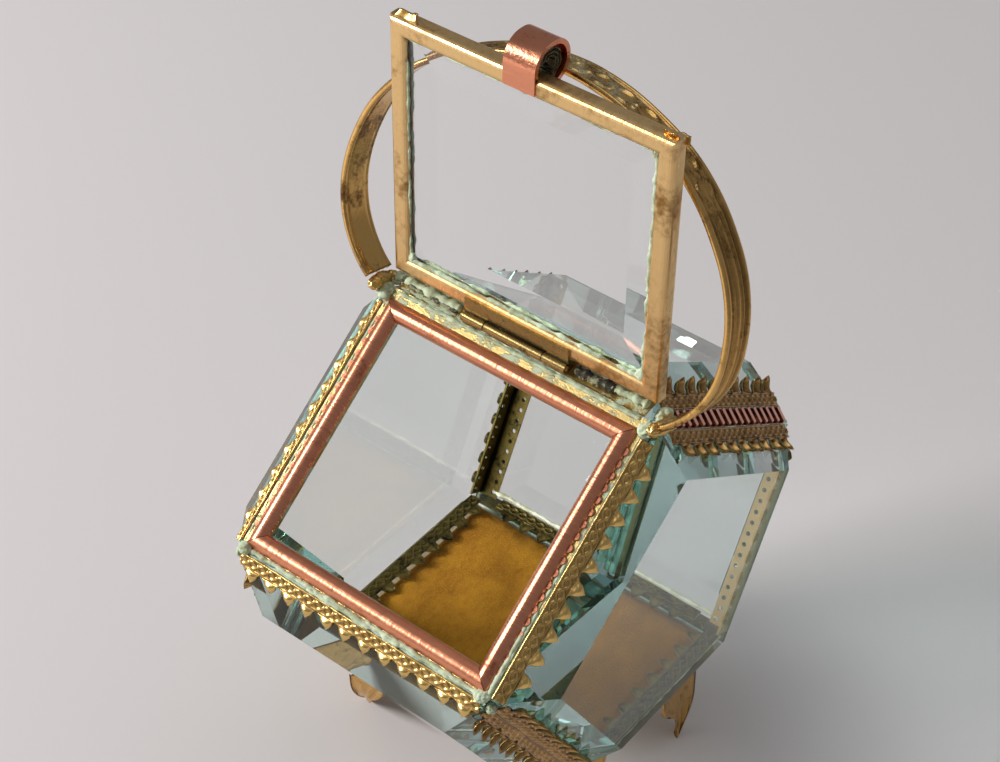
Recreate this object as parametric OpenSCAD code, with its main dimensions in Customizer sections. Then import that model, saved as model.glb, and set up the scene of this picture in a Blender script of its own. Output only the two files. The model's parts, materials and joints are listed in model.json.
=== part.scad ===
// Glass casket: five bevelled panes held at their edges by soldered brass strips,
// a slanted opening trimmed in copper, a glazed lid on a pin hinge that leans on a
// hoop handle, four stamped corner feet and a velvet pad on the floor.
// Origin on the ground under the middle of the casket, front towards -Y.

/* [Casket] */
// Width between the planes of the two end panes
box_w = 52; // [46:0.5:70]
// Depth at the widest level, front edge to back edge
box_d = 80; // [74:0.5:96]
// Depth of the floor
floor_d = 37.4; // [34:0.2:48]
// Height from the floor to the widest level
mid_h = 37.4; // [34:0.2:46]
// Height from the floor to the ridge
ridge_h = 66; // [62:0.5:76]
// Height of the floor above the ground
foot_h = 24; // [18:0.5:34]

/* [Glass] */
// Thickness of a pane at its edge
edge_t = 1.6; // [1.2:0.1:2.2]
// Width of the 45 degree bevel, seen from the front
bevel_w = 5.9; // [4:0.1:7]
// Distance of a pane's edge from the corner line
edge_gap = 1.0; // [0.9:0.05:1.4]

/* [Gallery strips] */
// Thickness of the stamped sheet
strip_t = 0.35; // [0.25:0.05:0.5]
// Height of the stamped relief on the sheet
relief_t = 0.2; // [0.1:0.05:0.3]
// Width of the band that carries the teeth
band_w = 2.4; // [1.8:0.1:2.8]
// Length of a tooth from the band to its tip
tooth_l = 2.4; // [1.8:0.1:3.4]
// Radius of the round notches between the teeth
notch_r = 0.85; // [0.6:0.05:1]
// Distance from tooth to tooth
tooth_pitch = 4.0; // [3.4:0.1:5]
// How far the band hangs over the edge of the pane
band_over = 1.5; // [1.2:0.05:1.7]
// Clear distance between strips that meet at a corner
corner_gap = 2.6; // [2:0.1:4]
// Width of each leg of the pierced angle strips inside the standing corners
angle_w = 2.6; // [1.8:0.1:3.4]
// Radius of the holes along the angle strips
pierce_r = 0.35; // [0.25:0.05:0.5]

/* [Opening] */
// Thickness of the ledge that carries the copper rails
ledge_t = 0.8; // [0.5:0.05:0.9]
// Width of a copper rail
copper_w = 3.2; // [2.4:0.1:4]
// Height of the half-round of a copper rail
copper_h = 1.2; // [0.8:0.05:1.3]
// Radius of a scallop along the rail's outer edge
scallop_r = 0.7; // [0.5:0.05:0.8]
// Distance from the ledge's end to the rails at the side edges
copper_inset = 0.8; // [0.7:0.05:1.5]
// Distance from the ledge's upper end to the upper rail, under the hinge
copper_back = 1.8; // [0.3:0.1:2.4]

/* [Lid] */
// Angle of the open lid from the horizontal, leaning back
lid_open = 87.5; // [82:0.5:92]
// Length of the lid from the hinge axis to its free edge
lid_l = 48.5; // [47:0.25:49]
// Width of the brass rails of the lid
rail_w = 3.2; // [2.4:0.1:4]
// Thickness of the lid rails
rail_t = 3.2; // [3:0.1:4]
// Width of the bevel on the lid glass
lid_bevel_w = 4.5; // [3:0.1:6]
// Rise of the bevel on the lid glass
lid_bevel_h = 1.5; // [0.8:0.1:1.8]
// How deep the lid glass stands in the rails
glass_seat = 1.5; // [1:0.1:2]
// Length of the copper roll at the free edge
roll_l = 5.8; // [4:0.1:9]
// Outer radius of the copper roll
roll_r = 3.8; // [3:0.1:4.4]
// Height of the roll's middle over the free edge
roll_lift = 0.8; // [0:0.1:1.6]
// Length of the roll's leg down the front of the rail
roll_leg = 2.6; // [1:0.1:3]
// Middle of the roll, to the left of the lid's middle
roll_shift = 1.2; // [0:0.1:4]
// Thickness of the copper roll's sheet
roll_t = 0.8; // [0.4:0.1:1]

/* [Hinge] */
// Radius of the hinge knuckles
knuckle_r = 0.9; // [0.8:0.05:1]
// Radius of the hinge pin
pin_r = 0.4; // [0.3:0.05:0.5]
// Radial clearance between pin and middle knuckle
pin_clear = 0.05; // [0.02:0.01:0.1]
// Height of the hinge axis over the ridge line
axis_h = 1.5; // [1.45:0.05:1.8]
// Middle of the hinge, to the left of the casket's middle
hinge_shift = 0.6; // [0:0.05:4]
// Length of the middle knuckle
knuckle_mid = 11.6; // [8:0.1:14]
// Length of each outer knuckle
knuckle_end = 4.5; // [3:0.1:6]
// Thickness of the hinge leaves
leaf_t = 0.4; // [0.3:0.05:0.45]

/* [Handle] */
// Half width of the hoop at its widest
hoop_half_w = 36.4; // [35:0.2:44]
// Height of the widest place above the ridge, along the hoop
hoop_wide_h = 16; // [13:0.5:20]
// Height of the crown above the ridge, along the hoop
hoop_top_h = 48; // [44:0.25:54]
// Width of the strap
strap_w = 6; // [4:0.2:8]
// Thickness of the strap's plain sheet
strap_t = 0.8; // [0.5:0.1:1.2]
// Radius of the solder knots at the hoop's ends
knot_r = 1.6; // [1.3:0.1:1.8]

/* [Feet] */
// Length of a foot's wing along the front or back edge
wing_front = 8.4; // [6:0.2:12]
// Length of a foot's wing along the side edge
wing_side = 10.5; // [8:0.25:13]
// Thickness of the stamped foot
wing_t = 0.6; // [0.4:0.05:0.9]
// Height at which the wings reach their full length
wing_h = 14; // [10:0.5:16]
// Height under which the foot turns in towards its sole
knee_h = 9; // [6:0.5:12]
// How far the sole stands in from the corner along the side
sole_in = 4.2; // [2:0.1:6]
// Width of each wing at the sole
sole_w = 1.2; // [1:0.1:2.5]

/* [Floor and pad] */
// Thickness of the floor tray
tray_t = 1.0; // [0.6:0.1:1.5]
// Thickness of the card under the pad
card_t = 0.8; // [0.4:0.1:1.2]
// Height of the pad at its edge
pad_edge_h = 1.0; // [0.6:0.1:1.4]
// Height that the middle of the pad rises over its edge
pad_crown = 2.2; // [1:0.1:4]
// How far the middle of each side is drawn in
pad_draw = 0.5; // [0.2:0.1:1]

/* [Hidden] */

$fn = 48;
brass = "#c8993f";
old_brass = "#9a7a3a";
copper = "#c0694a";
glass = "#bcd8d2";
solder = "#b9b79a";
velvet = "#b5832c";
card = "#7d6a4a";

// Running clearance between pieces that are soldered side by side
seam = 0.15;
// Clearance between soft or moving pieces
free = 0.3;
// Length by which a cutting body reaches past what it cuts
past = 5;

end_x = box_w / 2;
half_d = box_d / 2;
half_f = floor_d / 2;

// Profile of the end panes, counter-clockwise in Y and Z above the floor
b1 = [-half_f, 0];
b2 = [half_f, 0];
k_pt = [half_d, mid_h];
r_pt = [0, ridge_h];
f_pt = [-half_d, mid_h];
profile = [b1, b2, k_pt, r_pt, f_pt];

slope_l = norm(f_pt - r_pt);
pane_half = end_x - edge_gap;

function unit(v) = v / norm(v);
function out_n(p, q) = let (d = unit(q - p)) [d[1], -d[0]];
function left_n(d) = [-d[1], d[0]];

// Outline moved inwards by w along every side
function inset(poly, w) = [for (i = [0:len(poly) - 1])
    let (a = poly[(i + len(poly) - 1) % len(poly)],
        p = poly[i],
        b = poly[(i + 1) % len(poly)],
        n1 = left_n(unit(p - a)),
        n2 = left_n(unit(b - p)))
    p + w * (n1 + n2) / (1 + n1 * n2)];

// Frame on a wall between profile points: x to -X, y along the wall, z outwards
module on_wall(p, q) {
    d = unit(q - p);
    n = out_n(p, q);
    multmatrix([[-1, 0, 0, 0], [0, d[0], n[0], p[0]], [0, d[1], n[1], foot_h + p[1]], [0, 0, 0, 1]])
        children();
}

// Frame on an edge of the right end pane: x along the edge, y inwards, z to +X
module on_end(p, q) {
    d = unit(q - p);
    multmatrix([[0, 0, 1, end_x], [d[0], -d[1], 0, p[0]], [d[1], d[0], 0, foot_h + p[1]], [0, 0, 0, 1]])
        children();
}

// Frame on the bevel of an edge of the right end pane
module on_end_bevel(p, q) {
    on_end(p, q) translate([0, edge_gap, edge_t / 2]) rotate([45, 0, 0]) children();
}

// Frame on the bevel at the first edge of a wall
module on_top_bevel(p, q) {
    on_wall(p, q) translate([0, edge_gap, edge_t / 2]) rotate([45, 0, 0]) children();
}

// Frame on the bevel at the last edge of a wall
module on_low_bevel(p, q) {
    on_wall(p, q) translate([0, norm(q - p) - edge_gap, edge_t / 2]) rotate([0, 0, 180])
        rotate([45, 0, 0]) children();
}

module left_side() {
    mirror([1, 0, 0]) children();
}

module at_floor() {
    translate([0, 0, foot_h]) children();
}

// A pane with a flat back, a thin edge and a bevel round its raised face
module pane(outline, bevel, rise) {
    n = len(outline);
    rings = [for (p = outline) [p[0], p[1], -edge_t / 2],
        for (p = outline) [p[0], p[1], edge_t / 2],
        for (p = inset(outline, bevel)) [p[0], p[1], edge_t / 2 + rise]];
    back = [for (i = [0:n - 1]) i];
    face = [for (i = [n - 1:-1:0]) 2 * n + i];
    sides = [for (k = [0:1], i = [0:n - 1])
        let (j = (i + 1) % n) [k * n + i, (k + 1) * n + i, (k + 1) * n + j, k * n + j]];
    polyhedron(points = rings, faces = concat([back, face], sides));
}

module wall_pane(p, q) {
    l = norm(q - p);
    on_wall(p, q)
        pane([[-pane_half, edge_gap], [pane_half, edge_gap],
            [pane_half, l - edge_gap], [-pane_half, l - edge_gap]], bevel_w, bevel_w);
}

module glass_front() {
    color(glass) wall_pane(f_pt, b1);
}

module glass_back_lower() {
    color(glass) wall_pane(b2, k_pt);
}

module glass_back_upper() {
    color(glass) wall_pane(k_pt, r_pt);
}

module glass_end_right() {
    color(glass) multmatrix([[0, 0, 1, end_x], [1, 0, 0, 0], [0, 1, 0, foot_h], [0, 0, 0, 1]])
        pane(inset(profile, edge_gap), bevel_w, bevel_w);
}

module glass_end_left() {
    left_side() glass_end_right();
}

// Outline of a tooth: round notches at its foot, straight flanks and a pointed tip
notch_flat = 0.1;
notch_steps = 4;
root_half = tooth_pitch / 2 - notch_flat;
module tooth(length) {
    foot = [for (i = [0:notch_steps]) let (a = 90 * i / notch_steps)
        [root_half - notch_r * sin(a), notch_r * (1 - cos(a))]];
    polygon(concat(foot, [[0, length]], [for (i = [notch_steps:-1:0]) [-foot[i][0], foot[i][1]]]));
}

// Hollow inside the raised rim of a tooth
rim_w = 0.3;
module tooth_hollow(length) {
    half = root_half - notch_r - rim_w;
    polygon([[half, rim_w], [half, notch_r], [0, length - 3 * rim_w], [-half, notch_r], [-half, rim_w]]);
}

// Band with a row of teeth and a row of bosses, centred on x = 0 and starting at y = 0
boss_clear = 0.1;
module toothed_band(run) {
    count = teeth_in(run);
    linear_extrude(strip_t) {
        translate([-run / 2, 0]) square([run, band_w]);
        for (i = [0:count - 1])
            translate([(i - (count - 1) / 2) * tooth_pitch, band_w]) tooth(tooth_l);
    }
    translate([0, 0, strip_t]) linear_extrude(relief_t) {
        for (y = [0, band_w - rim_w])
            translate([-run / 2, y]) square([run, rim_w]);
        for (i = [0:count - 1])
            translate([(i - (count - 1) / 2) * tooth_pitch, band_w]) difference() {
                tooth(tooth_l);
                tooth_hollow(tooth_l);
            }
        for (i = [0:2 * count - 1])
            translate([(i - count + 0.5) * tooth_pitch / 2, band_w / 2])
                circle(r = band_w / 2 - rim_w - boss_clear, $fn = 4);
    }
}

end_margin = 0.5;
function teeth_in(run) = floor((run - 2 * end_margin) / tooth_pitch);

// Gallery that folds over a corner line, with teeth to both sides of it
fold_in = 0.14;
fold_half = edge_gap * sqrt(2) - fold_in;
module corner_gallery(p, q, start, stop) {
    run = norm(q - p) - start - stop;
    on_end_bevel(p, q) translate([start + run / 2, -fold_half, 0]) {
        toothed_band(run);
        mirror([0, 1, 0]) toothed_band(run);
    }
}

// Gallery on one bevel, its band hanging a little over the pane's edge
module edge_gallery(run) {
    translate([0, -band_over, 0]) toothed_band(run);
}

gallery_in = 1.4;
gallery_run = 2 * (end_x - gallery_in);
module gallery_front() {
    color(brass) on_top_bevel(f_pt, b1) edge_gallery(gallery_run);
}

module gallery_back() {
    color(brass) on_low_bevel(b2, k_pt) edge_gallery(gallery_run);
}

slope_start = 3.1;
slope_stop = 1.2;
module gallery_slope_right() {
    run = slope_l - slope_start - slope_stop;
    color(brass) on_end_bevel(r_pt, f_pt) translate([slope_start + run / 2, 0, 0]) edge_gallery(run);
}

module gallery_slope_left() {
    left_side() gallery_slope_right();
}

module gallery_corner_front_right() {
    color(brass) corner_gallery(f_pt, b1, corner_gap, corner_gap);
}

module gallery_corner_front_left() {
    left_side() gallery_corner_front_right();
}

module gallery_corner_back_right() {
    color(old_brass) corner_gallery(b2, k_pt, corner_gap, corner_gap);
}

module gallery_corner_back_left() {
    left_side() gallery_corner_back_right();
}

// Roof corner: galleries to both sides of a ribbed copper braid
braid_w = 3.0;
braid_h = 1.0;
rib_pitch = 2.3;
rib_slant = 20;
roof_start = 2.6;
roof_stop = 4.2;
module gallery_roof_right() {
    run = slope_l - roof_start - roof_stop;
    side = braid_w / 2 + seam;
    color(brass) on_end_bevel(k_pt, r_pt) translate([roof_start + run / 2, -fold_half, 0])
        for (m = [0, 1])
            mirror([0, m, 0]) translate([0, side, 0]) toothed_band(run);
}

module gallery_roof_left() {
    left_side() gallery_roof_right();
}

module copper_braid_right() {
    run = slope_l - roof_start - roof_stop;
    ribs = floor(run / rib_pitch);
    color(copper) on_end_bevel(k_pt, r_pt) translate([roof_start, -fold_half, 0]) {
        translate([0, -braid_w / 2, 0]) cube([run, braid_w, strip_t]);
        for (i = [0:ribs - 1])
            translate([(i + 0.5) * run / ribs, 0, strip_t]) rotate([0, 0, rib_slant])
                translate([-rib_pitch / 5, -0.45 * braid_w, 0])
                    cube([rib_pitch / 2.5, 0.9 * braid_w, braid_h - strip_t]);
    }
}

module copper_braid_left() {
    left_side() copper_braid_right();
}

// Plain strips under the bottom bevels
base_w = 3.0;
base_over = band_over / 3;
module base_strip_front() {
    color(old_brass) on_low_bevel(f_pt, b1)
        translate([-pane_half, -base_over, 0]) cube([2 * pane_half, base_w, strip_t]);
}

module base_strip_back() {
    color(old_brass) on_top_bevel(b2, k_pt)
        translate([-pane_half, -base_over, 0]) cube([2 * pane_half, base_w, strip_t]);
}

module base_strip_right() {
    color(old_brass) on_end_bevel(b1, b2)
        translate([corner_gap, -base_over, 0]) cube([floor_d - 2 * corner_gap, base_w, strip_t]);
}

module base_strip_left() {
    left_side() base_strip_right();
}

// Floor tray, card and pad
tray_x = end_x - edge_t / 2;
tray_y = half_f;
module floor_tray() {
    color(old_brass) at_floor() translate([-tray_x, -tray_y, -tray_t]) cube([2 * tray_x, 2 * tray_y, tray_t]);
}

card_x = end_x - edge_t / 2 - free;
card_y = half_f - free;
module floor_card() {
    color(card) at_floor() translate([-card_x, -card_y, 0]) cube([2 * card_x, 2 * card_y, card_t]);
}

// Pad: a grid over a share u, v of its half size, drawn in at the sides and crowned on top
pad_in = 0.2;
pad_x = card_x - pad_in;
pad_y = card_y - pad_in;
pad_lift = 0.1;
pad_z = card_t + pad_lift;
pad_nx = 18;
pad_ny = 14;
function pad_plan(u, v) = [
    u * (pad_x - pad_draw * (1 - v * v) * abs(u)),
    v * (pad_y - pad_draw * (1 - u * u) * abs(v))];
function dome(u) = sqrt(1 - pow(u, 6));
function pad_top(u, v) = pad_edge_h + pad_crown * dome(u) * dome(v);
function grid_u(i) = -cos(180 * i / pad_nx);
function grid_v(j) = -cos(180 * j / pad_ny);

module velvet_pad() {
    row = pad_ny + 1;
    half = (pad_nx + 1) * row;
    top = [for (i = [0:pad_nx], j = [0:pad_ny]) let (u = grid_u(i), v = grid_v(j), p = pad_plan(u, v))
        [p[0], p[1], pad_top(u, v)]];
    base = [for (i = [0:pad_nx], j = [0:pad_ny]) let (p = pad_plan(grid_u(i), grid_v(j))) [p[0], p[1], 0]];
    top_faces = [for (i = [0:pad_nx - 1], j = [0:pad_ny - 1], k = [0, 1])
        let (a = i * row + j) k == 0 ? [a, a + 1, a + row + 1] : [a, a + row + 1, a + row]];
    base_faces = [for (f = top_faces) [half + f[2], half + f[1], half + f[0]]];
    rim = concat([for (j = [0:pad_ny - 1]) j],
        [for (i = [0:pad_nx - 1]) i * row + pad_ny],
        [for (j = [pad_ny:-1:1]) pad_nx * row + j],
        [for (i = [pad_nx:-1:1]) i * row]);
    rim_faces = [for (m = [0:len(rim) - 1], k = [0, 1])
        let (a = rim[m], b = rim[(m + 1) % len(rim)]) k == 0 ? [b, a, half + a] : [b, half + a, half + b]];
    color(velvet) at_floor() translate([0, 0, pad_z])
        polyhedron(points = concat(top, base), faces = concat(top_faces, base_faces, rim_faces));
}

// Galleries inside, over the edge of the pad, with teeth lying inwards
inner_z = pad_z + pad_edge_h + pad_crown + free;
inner_side_in = 2;
inner_cross_in = 6.5;

module floor_gallery_right() {
    color(old_brass) at_floor() translate([end_x - edge_t / 2 - seam, 0, inner_z]) rotate([0, 0, 90])
        toothed_band(floor_d - 2 * inner_side_in);
}

module floor_gallery_left() {
    left_side() floor_gallery_right();
}

wall_lean = half_d - half_f;
module floor_gallery_back() {
    reach = half_f + wall_lean * inner_z / mid_h - edge_t - seam;
    color(old_brass) at_floor() translate([0, reach, inner_z]) rotate([0, 0, 180])
        toothed_band(2 * (end_x - inner_cross_in));
}

module floor_gallery_front() {
    mirror([0, 1, 0]) floor_gallery_back();
}

// Angle strip inside a standing corner of the glass, pierced along its fold
pierce_pitch = 2.1;
angle_top = 3;
angle_foot = inner_z + 1.6;
module inner_angle(p, q, start, stop) {
    run = norm(q - p) - start - stop;
    near = edge_t / 2 + seam;
    holes = floor(run / pierce_pitch) - 1;
    on_end(p, q) translate([start, near, -near]) difference() {
        translate([0, 0, -angle_w]) cube([run, angle_w, angle_w]);
        translate([-past, strip_t, -angle_w - past])
            cube([run + 2 * past, angle_w, angle_w + past - strip_t]);
        for (i = [0:holes - 1])
            translate([run / 2 + (i - (holes - 1) / 2) * pierce_pitch, -past, -strip_t - 2 * pierce_r])
                rotate([-90, 0, 0]) cylinder(r = pierce_r, h = 2 * past, $fn = 16);
    }
}

module inner_angle_front_right() {
    color(old_brass) inner_angle(f_pt, b1, angle_top, angle_foot);
}

module inner_angle_front_left() {
    left_side() inner_angle_front_right();
}

module inner_angle_back_right() {
    color(old_brass) inner_angle(b2, k_pt, angle_foot, angle_top);
}

module inner_angle_back_left() {
    left_side() inner_angle_back_right();
}

// Foot: a leaf folded at the corner, whose two wings narrow and turn in down to the sole
foot_top = foot_h - tray_t;
foot_steps = 8;
swell = 1.3;
function fold_at(z) = z < knee_h ? sole_in * pow(1 - z / knee_h, 2.2) : 0;
function wing_at(z, full) = sole_w + (full - sole_w) * pow(sin(90 * min(z / wing_h, 1)), swell);
function foot_ring(z) = let (b = fold_at(z), lx = wing_at(z, wing_front), ly = wing_at(z, wing_side))
    [[0, b, z], [lx, b, z], [lx, b + wing_t, z], [wing_t, b + wing_t, z], [wing_t, b + ly, z], [0, b + ly, z]];

module folded_leaf() {
    levels = concat([for (i = [0:foot_steps]) wing_h * i / foot_steps], [foot_top]);
    n = 6;
    top = n * (len(levels) - 1);
    caps = [[0, 1, 2, 3], [0, 3, 4, 5], [top + 3, top + 2, top + 1, top], [top + 5, top + 4, top + 3, top]];
    sides = [for (k = [0:len(levels) - 2], i = [0:n - 1])
        let (j = (i + 1) % n) [k * n + i, (k + 1) * n + i, (k + 1) * n + j, k * n + j]];
    polyhedron(points = [for (z = levels, p = foot_ring(z)) p], faces = concat(caps, sides));
}

// Right-hand front foot, its corner under the corner of the tray
module foot_front_right() {
    color(brass) translate([tray_x, -tray_y, 0]) mirror([1, 0, 0]) folded_leaf();
}

module foot_front_left() {
    mirror([1, 0, 0]) foot_front_right();
}

module foot_back_right() {
    mirror([0, 1, 0]) foot_front_right();
}

module foot_back_left() {
    mirror([1, 0, 0]) mirror([0, 1, 0]) foot_front_right();
}

// Opening: a ledge across the slope and four copper rails on it
ledge_in = 0.4;
ledge_front = 0.7;
ledge_x = end_x - ledge_in;
ledge_s0 = ledge_in / 2;
ledge_s1 = slope_l - ledge_front;
copper_x = ledge_x - copper_inset;
copper_s0 = ledge_s0 + copper_back;
copper_s1 = ledge_s1 - copper_inset + ledge_in / 2;
inner_x = copper_x - copper_w;
inner_s0 = copper_s0 + copper_w;
inner_s1 = copper_s1 - copper_w;

module on_slope() {
    on_wall(r_pt, f_pt) children();
}

module opening_ledge() {
    color(solder) on_slope() translate([0, 0, -ledge_t]) linear_extrude(ledge_t) difference() {
        translate([-ledge_x, ledge_s0]) square([2 * ledge_x, ledge_s1 - ledge_s0]);
        translate([-inner_x, inner_s0]) square([2 * inner_x, inner_s1 - inner_s0]);
    }
}

// Half-round bar of width copper_w along y, its flat on z = 0
copper_r = (pow(copper_w / 2, 2) + pow(copper_h, 2)) / (2 * copper_h);
module half_round(length) {
    intersection() {
        translate([0, 0, copper_h - copper_r]) rotate([-90, 0, 0]) cylinder(r = copper_r, h = length);
        translate([-copper_w / 2, 0, 0]) cube([copper_w, length, copper_h]);
    }
}

// Outline cut with mitres where the rails meet, apart by a seam
module mitre(x0, x1, y0, y1, low, high) {
    translate([0, 0, low]) linear_extrude(high - low) polygon([[x0, y0 + seam / 2], [x1, y0 + copper_w + seam / 2],
        [x1, y1 - copper_w - seam / 2], [x0, y1 - seam / 2]]);
}

scallop_pitch = 2.1;
scallop_in = 0.25;
scallop_clear = 2;
module copper_side() {
    run = copper_s1 - copper_s0;
    count = floor((run - 2 * scallop_clear) / scallop_pitch);
    intersection() {
        translate([copper_x - copper_w / 2, copper_s0, 0]) half_round(run);
        mitre(copper_x, inner_x, copper_s0, copper_s1, 0, copper_h);
    }
    for (i = [0:count - 1])
        translate([copper_x - scallop_in, (copper_s0 + copper_s1) / 2 + (i - (count - 1) / 2) * scallop_pitch, 0])
            cylinder(r = scallop_r, h = strip_t, $fn = 24);
}

module copper_rail_left() {
    color(copper) on_slope() copper_side();
}

module copper_rail_right() {
    left_side() copper_rail_left();
}

module copper_cross(s, away) {
    intersection() {
        translate([-copper_x, s + away * copper_w / 2, 0]) rotate([0, 0, -90]) half_round(2 * copper_x);
        translate([0, s, 0]) rotate([0, 0, away * 90])
            mitre(0, copper_w, -copper_x, copper_x, 0, copper_h);
    }
}

module copper_rail_back() {
    color(copper) on_slope() copper_cross(copper_s0, 1);
}

module copper_rail_front() {
    color(copper) on_slope() copper_cross(copper_s1, -1);
}

// Ridge strip behind the opening, on the top bevel of the upper back pane
ridge_over = 1.3;
ridge_w = 3.9;
ridge_t = 0.5;
ridge_in = 1.6;
ridge_x = end_x - ridge_in;
module on_ridge_bevel() {
    on_low_bevel(k_pt, r_pt) children();
}

module ridge_strip() {
    color(solder) on_ridge_bevel() translate([-ridge_x, -ridge_over, 0]) cube([2 * ridge_x, ridge_w, ridge_t]);
}

// Hinge axis above the ridge, with the lid's own frame: x to -X, y up the lid, z to its back
axis_pt = [0, ridge_h + axis_h];
module on_lid() {
    on_wall(axis_pt, axis_pt + [cos(lid_open), sin(lid_open)]) children();
}

hinge_run = knuckle_mid + 2 * knuckle_end;
hinge_x0 = -hinge_shift - hinge_run / 2;
knuckle_gap = 0.1;

// Round bar along X about the hinge axis, from x0 to x1
module axis_bar(x0, x1, r) {
    translate([x0, 0, foot_h + ridge_h + axis_h]) rotate([0, 90, 0]) cylinder(r = r, h = x1 - x0);
}

module hinge_leaf_fixed() {
    mid0 = hinge_x0 + knuckle_end;
    mid1 = mid0 + knuckle_mid;
    leaf_reach = 1.1;
    leaf_margin = 0.3;
    block_low = ridge_t + leaf_t / 2;
    color(old_brass) difference() {
        union() {
            on_ridge_bevel() translate([hinge_x0, leaf_margin - ridge_over, ridge_t])
                cube([hinge_run, ridge_w - 2 * leaf_margin, leaf_t]);
            for (x = [hinge_x0, mid1]) {
                axis_bar(x, x + knuckle_end, knuckle_r);
                translate([x, 0, foot_h + ridge_h + block_low])
                    cube([knuckle_end, leaf_reach, axis_h - block_low]);
            }
        }
        axis_bar(hinge_x0 - past, hinge_x0 + hinge_run + past, pin_r);
        translate([mid0 - knuckle_gap, -knuckle_r - free, foot_h + ridge_h + ridge_t / 2])
            cube([knuckle_mid + 2 * knuckle_gap, 2 * knuckle_r + 2 * free, axis_h + knuckle_r]);
    }
}

pin_out = 0.3;
module hinge_pin() {
    color(brass) axis_bar(hinge_x0 - pin_out, hinge_x0 + hinge_run + pin_out, pin_r);
}

leaf_in = 0.2;
rail_v0 = leaf_t + leaf_in;
rail_u0 = knuckle_r + free;
module hinge_leaf_lid() {
    mid0 = hinge_x0 + knuckle_end + knuckle_gap;
    mid_run = knuckle_mid - 2 * knuckle_gap;
    leaf_top = 3.4;
    color(old_brass) difference() {
        union() {
            axis_bar(mid0, mid0 + mid_run, knuckle_r);
            on_lid() {
                translate([-mid0 - mid_run, 0, rail_v0 - leaf_t]) cube([mid_run, leaf_top, leaf_t]);
                translate([-hinge_x0 - hinge_run, rail_u0, rail_v0 - leaf_t])
                    cube([hinge_run, leaf_top - rail_u0, leaf_t]);
            }
        }
        axis_bar(mid0 - past, mid0 + mid_run + past, pin_r + pin_clear);
    }
}

// Lid frame: four rails with rounded outer corners and a groove for the glass
lid_x = end_x;
rail_round = 0.9;
round_steps = 4;
function rail_corner(cx, cy, from) = [for (i = [0:round_steps]) let (a = from + 90 * i / round_steps)
    [cx + rail_round * cos(a), cy + rail_round * sin(a)]];
rail_section = concat(
    rail_corner(rail_w - rail_round, rail_round, -90),
    rail_corner(rail_w - rail_round, rail_t - rail_round, 0),
    rail_corner(rail_round, rail_t - rail_round, 90),
    rail_corner(rail_round, rail_round, 180));

// Bar along y of the given length, its section standing on x and z
module rail_bar(length) {
    translate([0, length, 0]) rotate([90, 0, 0]) linear_extrude(length) polygon(rail_section);
}

// Rail of one side, mitred at both ends, the outer edge on x = 0 and the width to +x
module mitred_rail(length) {
    intersection() {
        rail_bar(length);
        linear_extrude(rail_t) polygon([[0, 0], [rail_w, rail_w], [rail_w, length - rail_w], [0, length]]);
    }
}

lid_run = lid_l - rail_u0;
slot_play = 0.1;
glass_v = rail_v0 + rail_t / 2 - edge_t / 2;
pane_x = lid_x - rail_w + glass_seat;
pane_u0 = rail_u0 + rail_w - glass_seat;
pane_u1 = lid_l - rail_w + glass_seat;
module lid_frame() {
    color(brass) on_lid() difference() {
        translate([0, 0, rail_v0]) {
            translate([-lid_x, rail_u0, 0]) mitred_rail(lid_run);
            translate([lid_x, rail_u0, 0]) mirror([1, 0, 0]) mitred_rail(lid_run);
            translate([-lid_x, rail_u0, 0]) rotate([0, 0, -90]) mirror([1, 0, 0]) mitred_rail(2 * lid_x);
            translate([-lid_x, lid_l, 0]) rotate([0, 0, -90]) mitred_rail(2 * lid_x);
        }
        translate([-pane_x - slot_play, pane_u0 - slot_play, glass_v - slot_play])
            cube([2 * (pane_x + slot_play), pane_u1 - pane_u0 + 2 * slot_play, edge_t + 2 * slot_play]);
    }
}

pane_step = 0.2;
lid_pane_in = glass_seat + pane_step;
module lid_glass() {
    outer = [[-pane_x, pane_u0], [pane_x, pane_u0], [pane_x, pane_u1], [-pane_x, pane_u1]];
    color(glass) on_lid() translate([0, 0, glass_v]) {
        linear_extrude(edge_t) polygon(outer);
        translate([0, 0, edge_t / 2]) pane(inset(outer, lid_pane_in), lid_bevel_w, lid_bevel_h);
    }
}

// Copper roll: a tube over the free edge with a leg down its front, cut to fit the rail
roll_proud = 0.25;
roll_oval = 0.7;
roll_fit = 0.02;
roll_v0 = rail_v0 - roll_proud;
roll_v1 = roll_v0 + roll_r;
roll_v2 = roll_v1 + roll_oval;
roll_u = lid_l + roll_lift;
module oval(r) {
    translate([roll_u, roll_v1]) circle(r);
    translate([roll_u, roll_v2]) circle(r);
    translate([roll_u - r, roll_v1]) square([2 * r, roll_oval]);
}

module clasp_roll() {
    color(copper) on_lid() difference() {
        translate([roll_shift - roll_l / 2, 0, 0]) rotate([90, 0, 90]) linear_extrude(roll_l) difference() {
            union() {
                oval(roll_r);
                translate([lid_l - roll_leg, roll_v0]) square([roll_leg + roll_lift, roll_t]);
            }
            oval(roll_r - roll_t);
        }
        translate([-lid_x, lid_l - rail_w - roll_fit, rail_v0 - roll_fit])
            cube([2 * lid_x, rail_w + 2 * roll_fit, rail_t + 2 * roll_fit]);
    }
}

// Tilt of the hoop: the plane of its front rims passes close behind the roll of the open lid
lean_gap = 0.1;
roll_back = [roll_u * cos(lid_open) + roll_v2 * sin(lid_open),
    axis_h + roll_u * sin(lid_open) - roll_v2 * cos(lid_open)];
hoop_tilt = atan2(roll_back[1], roll_back[0]) - asin((roll_r + lean_gap + strap_w / 2) / norm(roll_back));

// Frame of the hoop: x to +X, y up the hoop, z to its front
module on_hoop() {
    multmatrix([[1, 0, 0, 0], [0, cos(hoop_tilt), -sin(hoop_tilt), 0],
        [0, sin(hoop_tilt), cos(hoop_tilt), foot_h + ridge_h], [0, 0, 0, 1]]) children();
}

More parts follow.
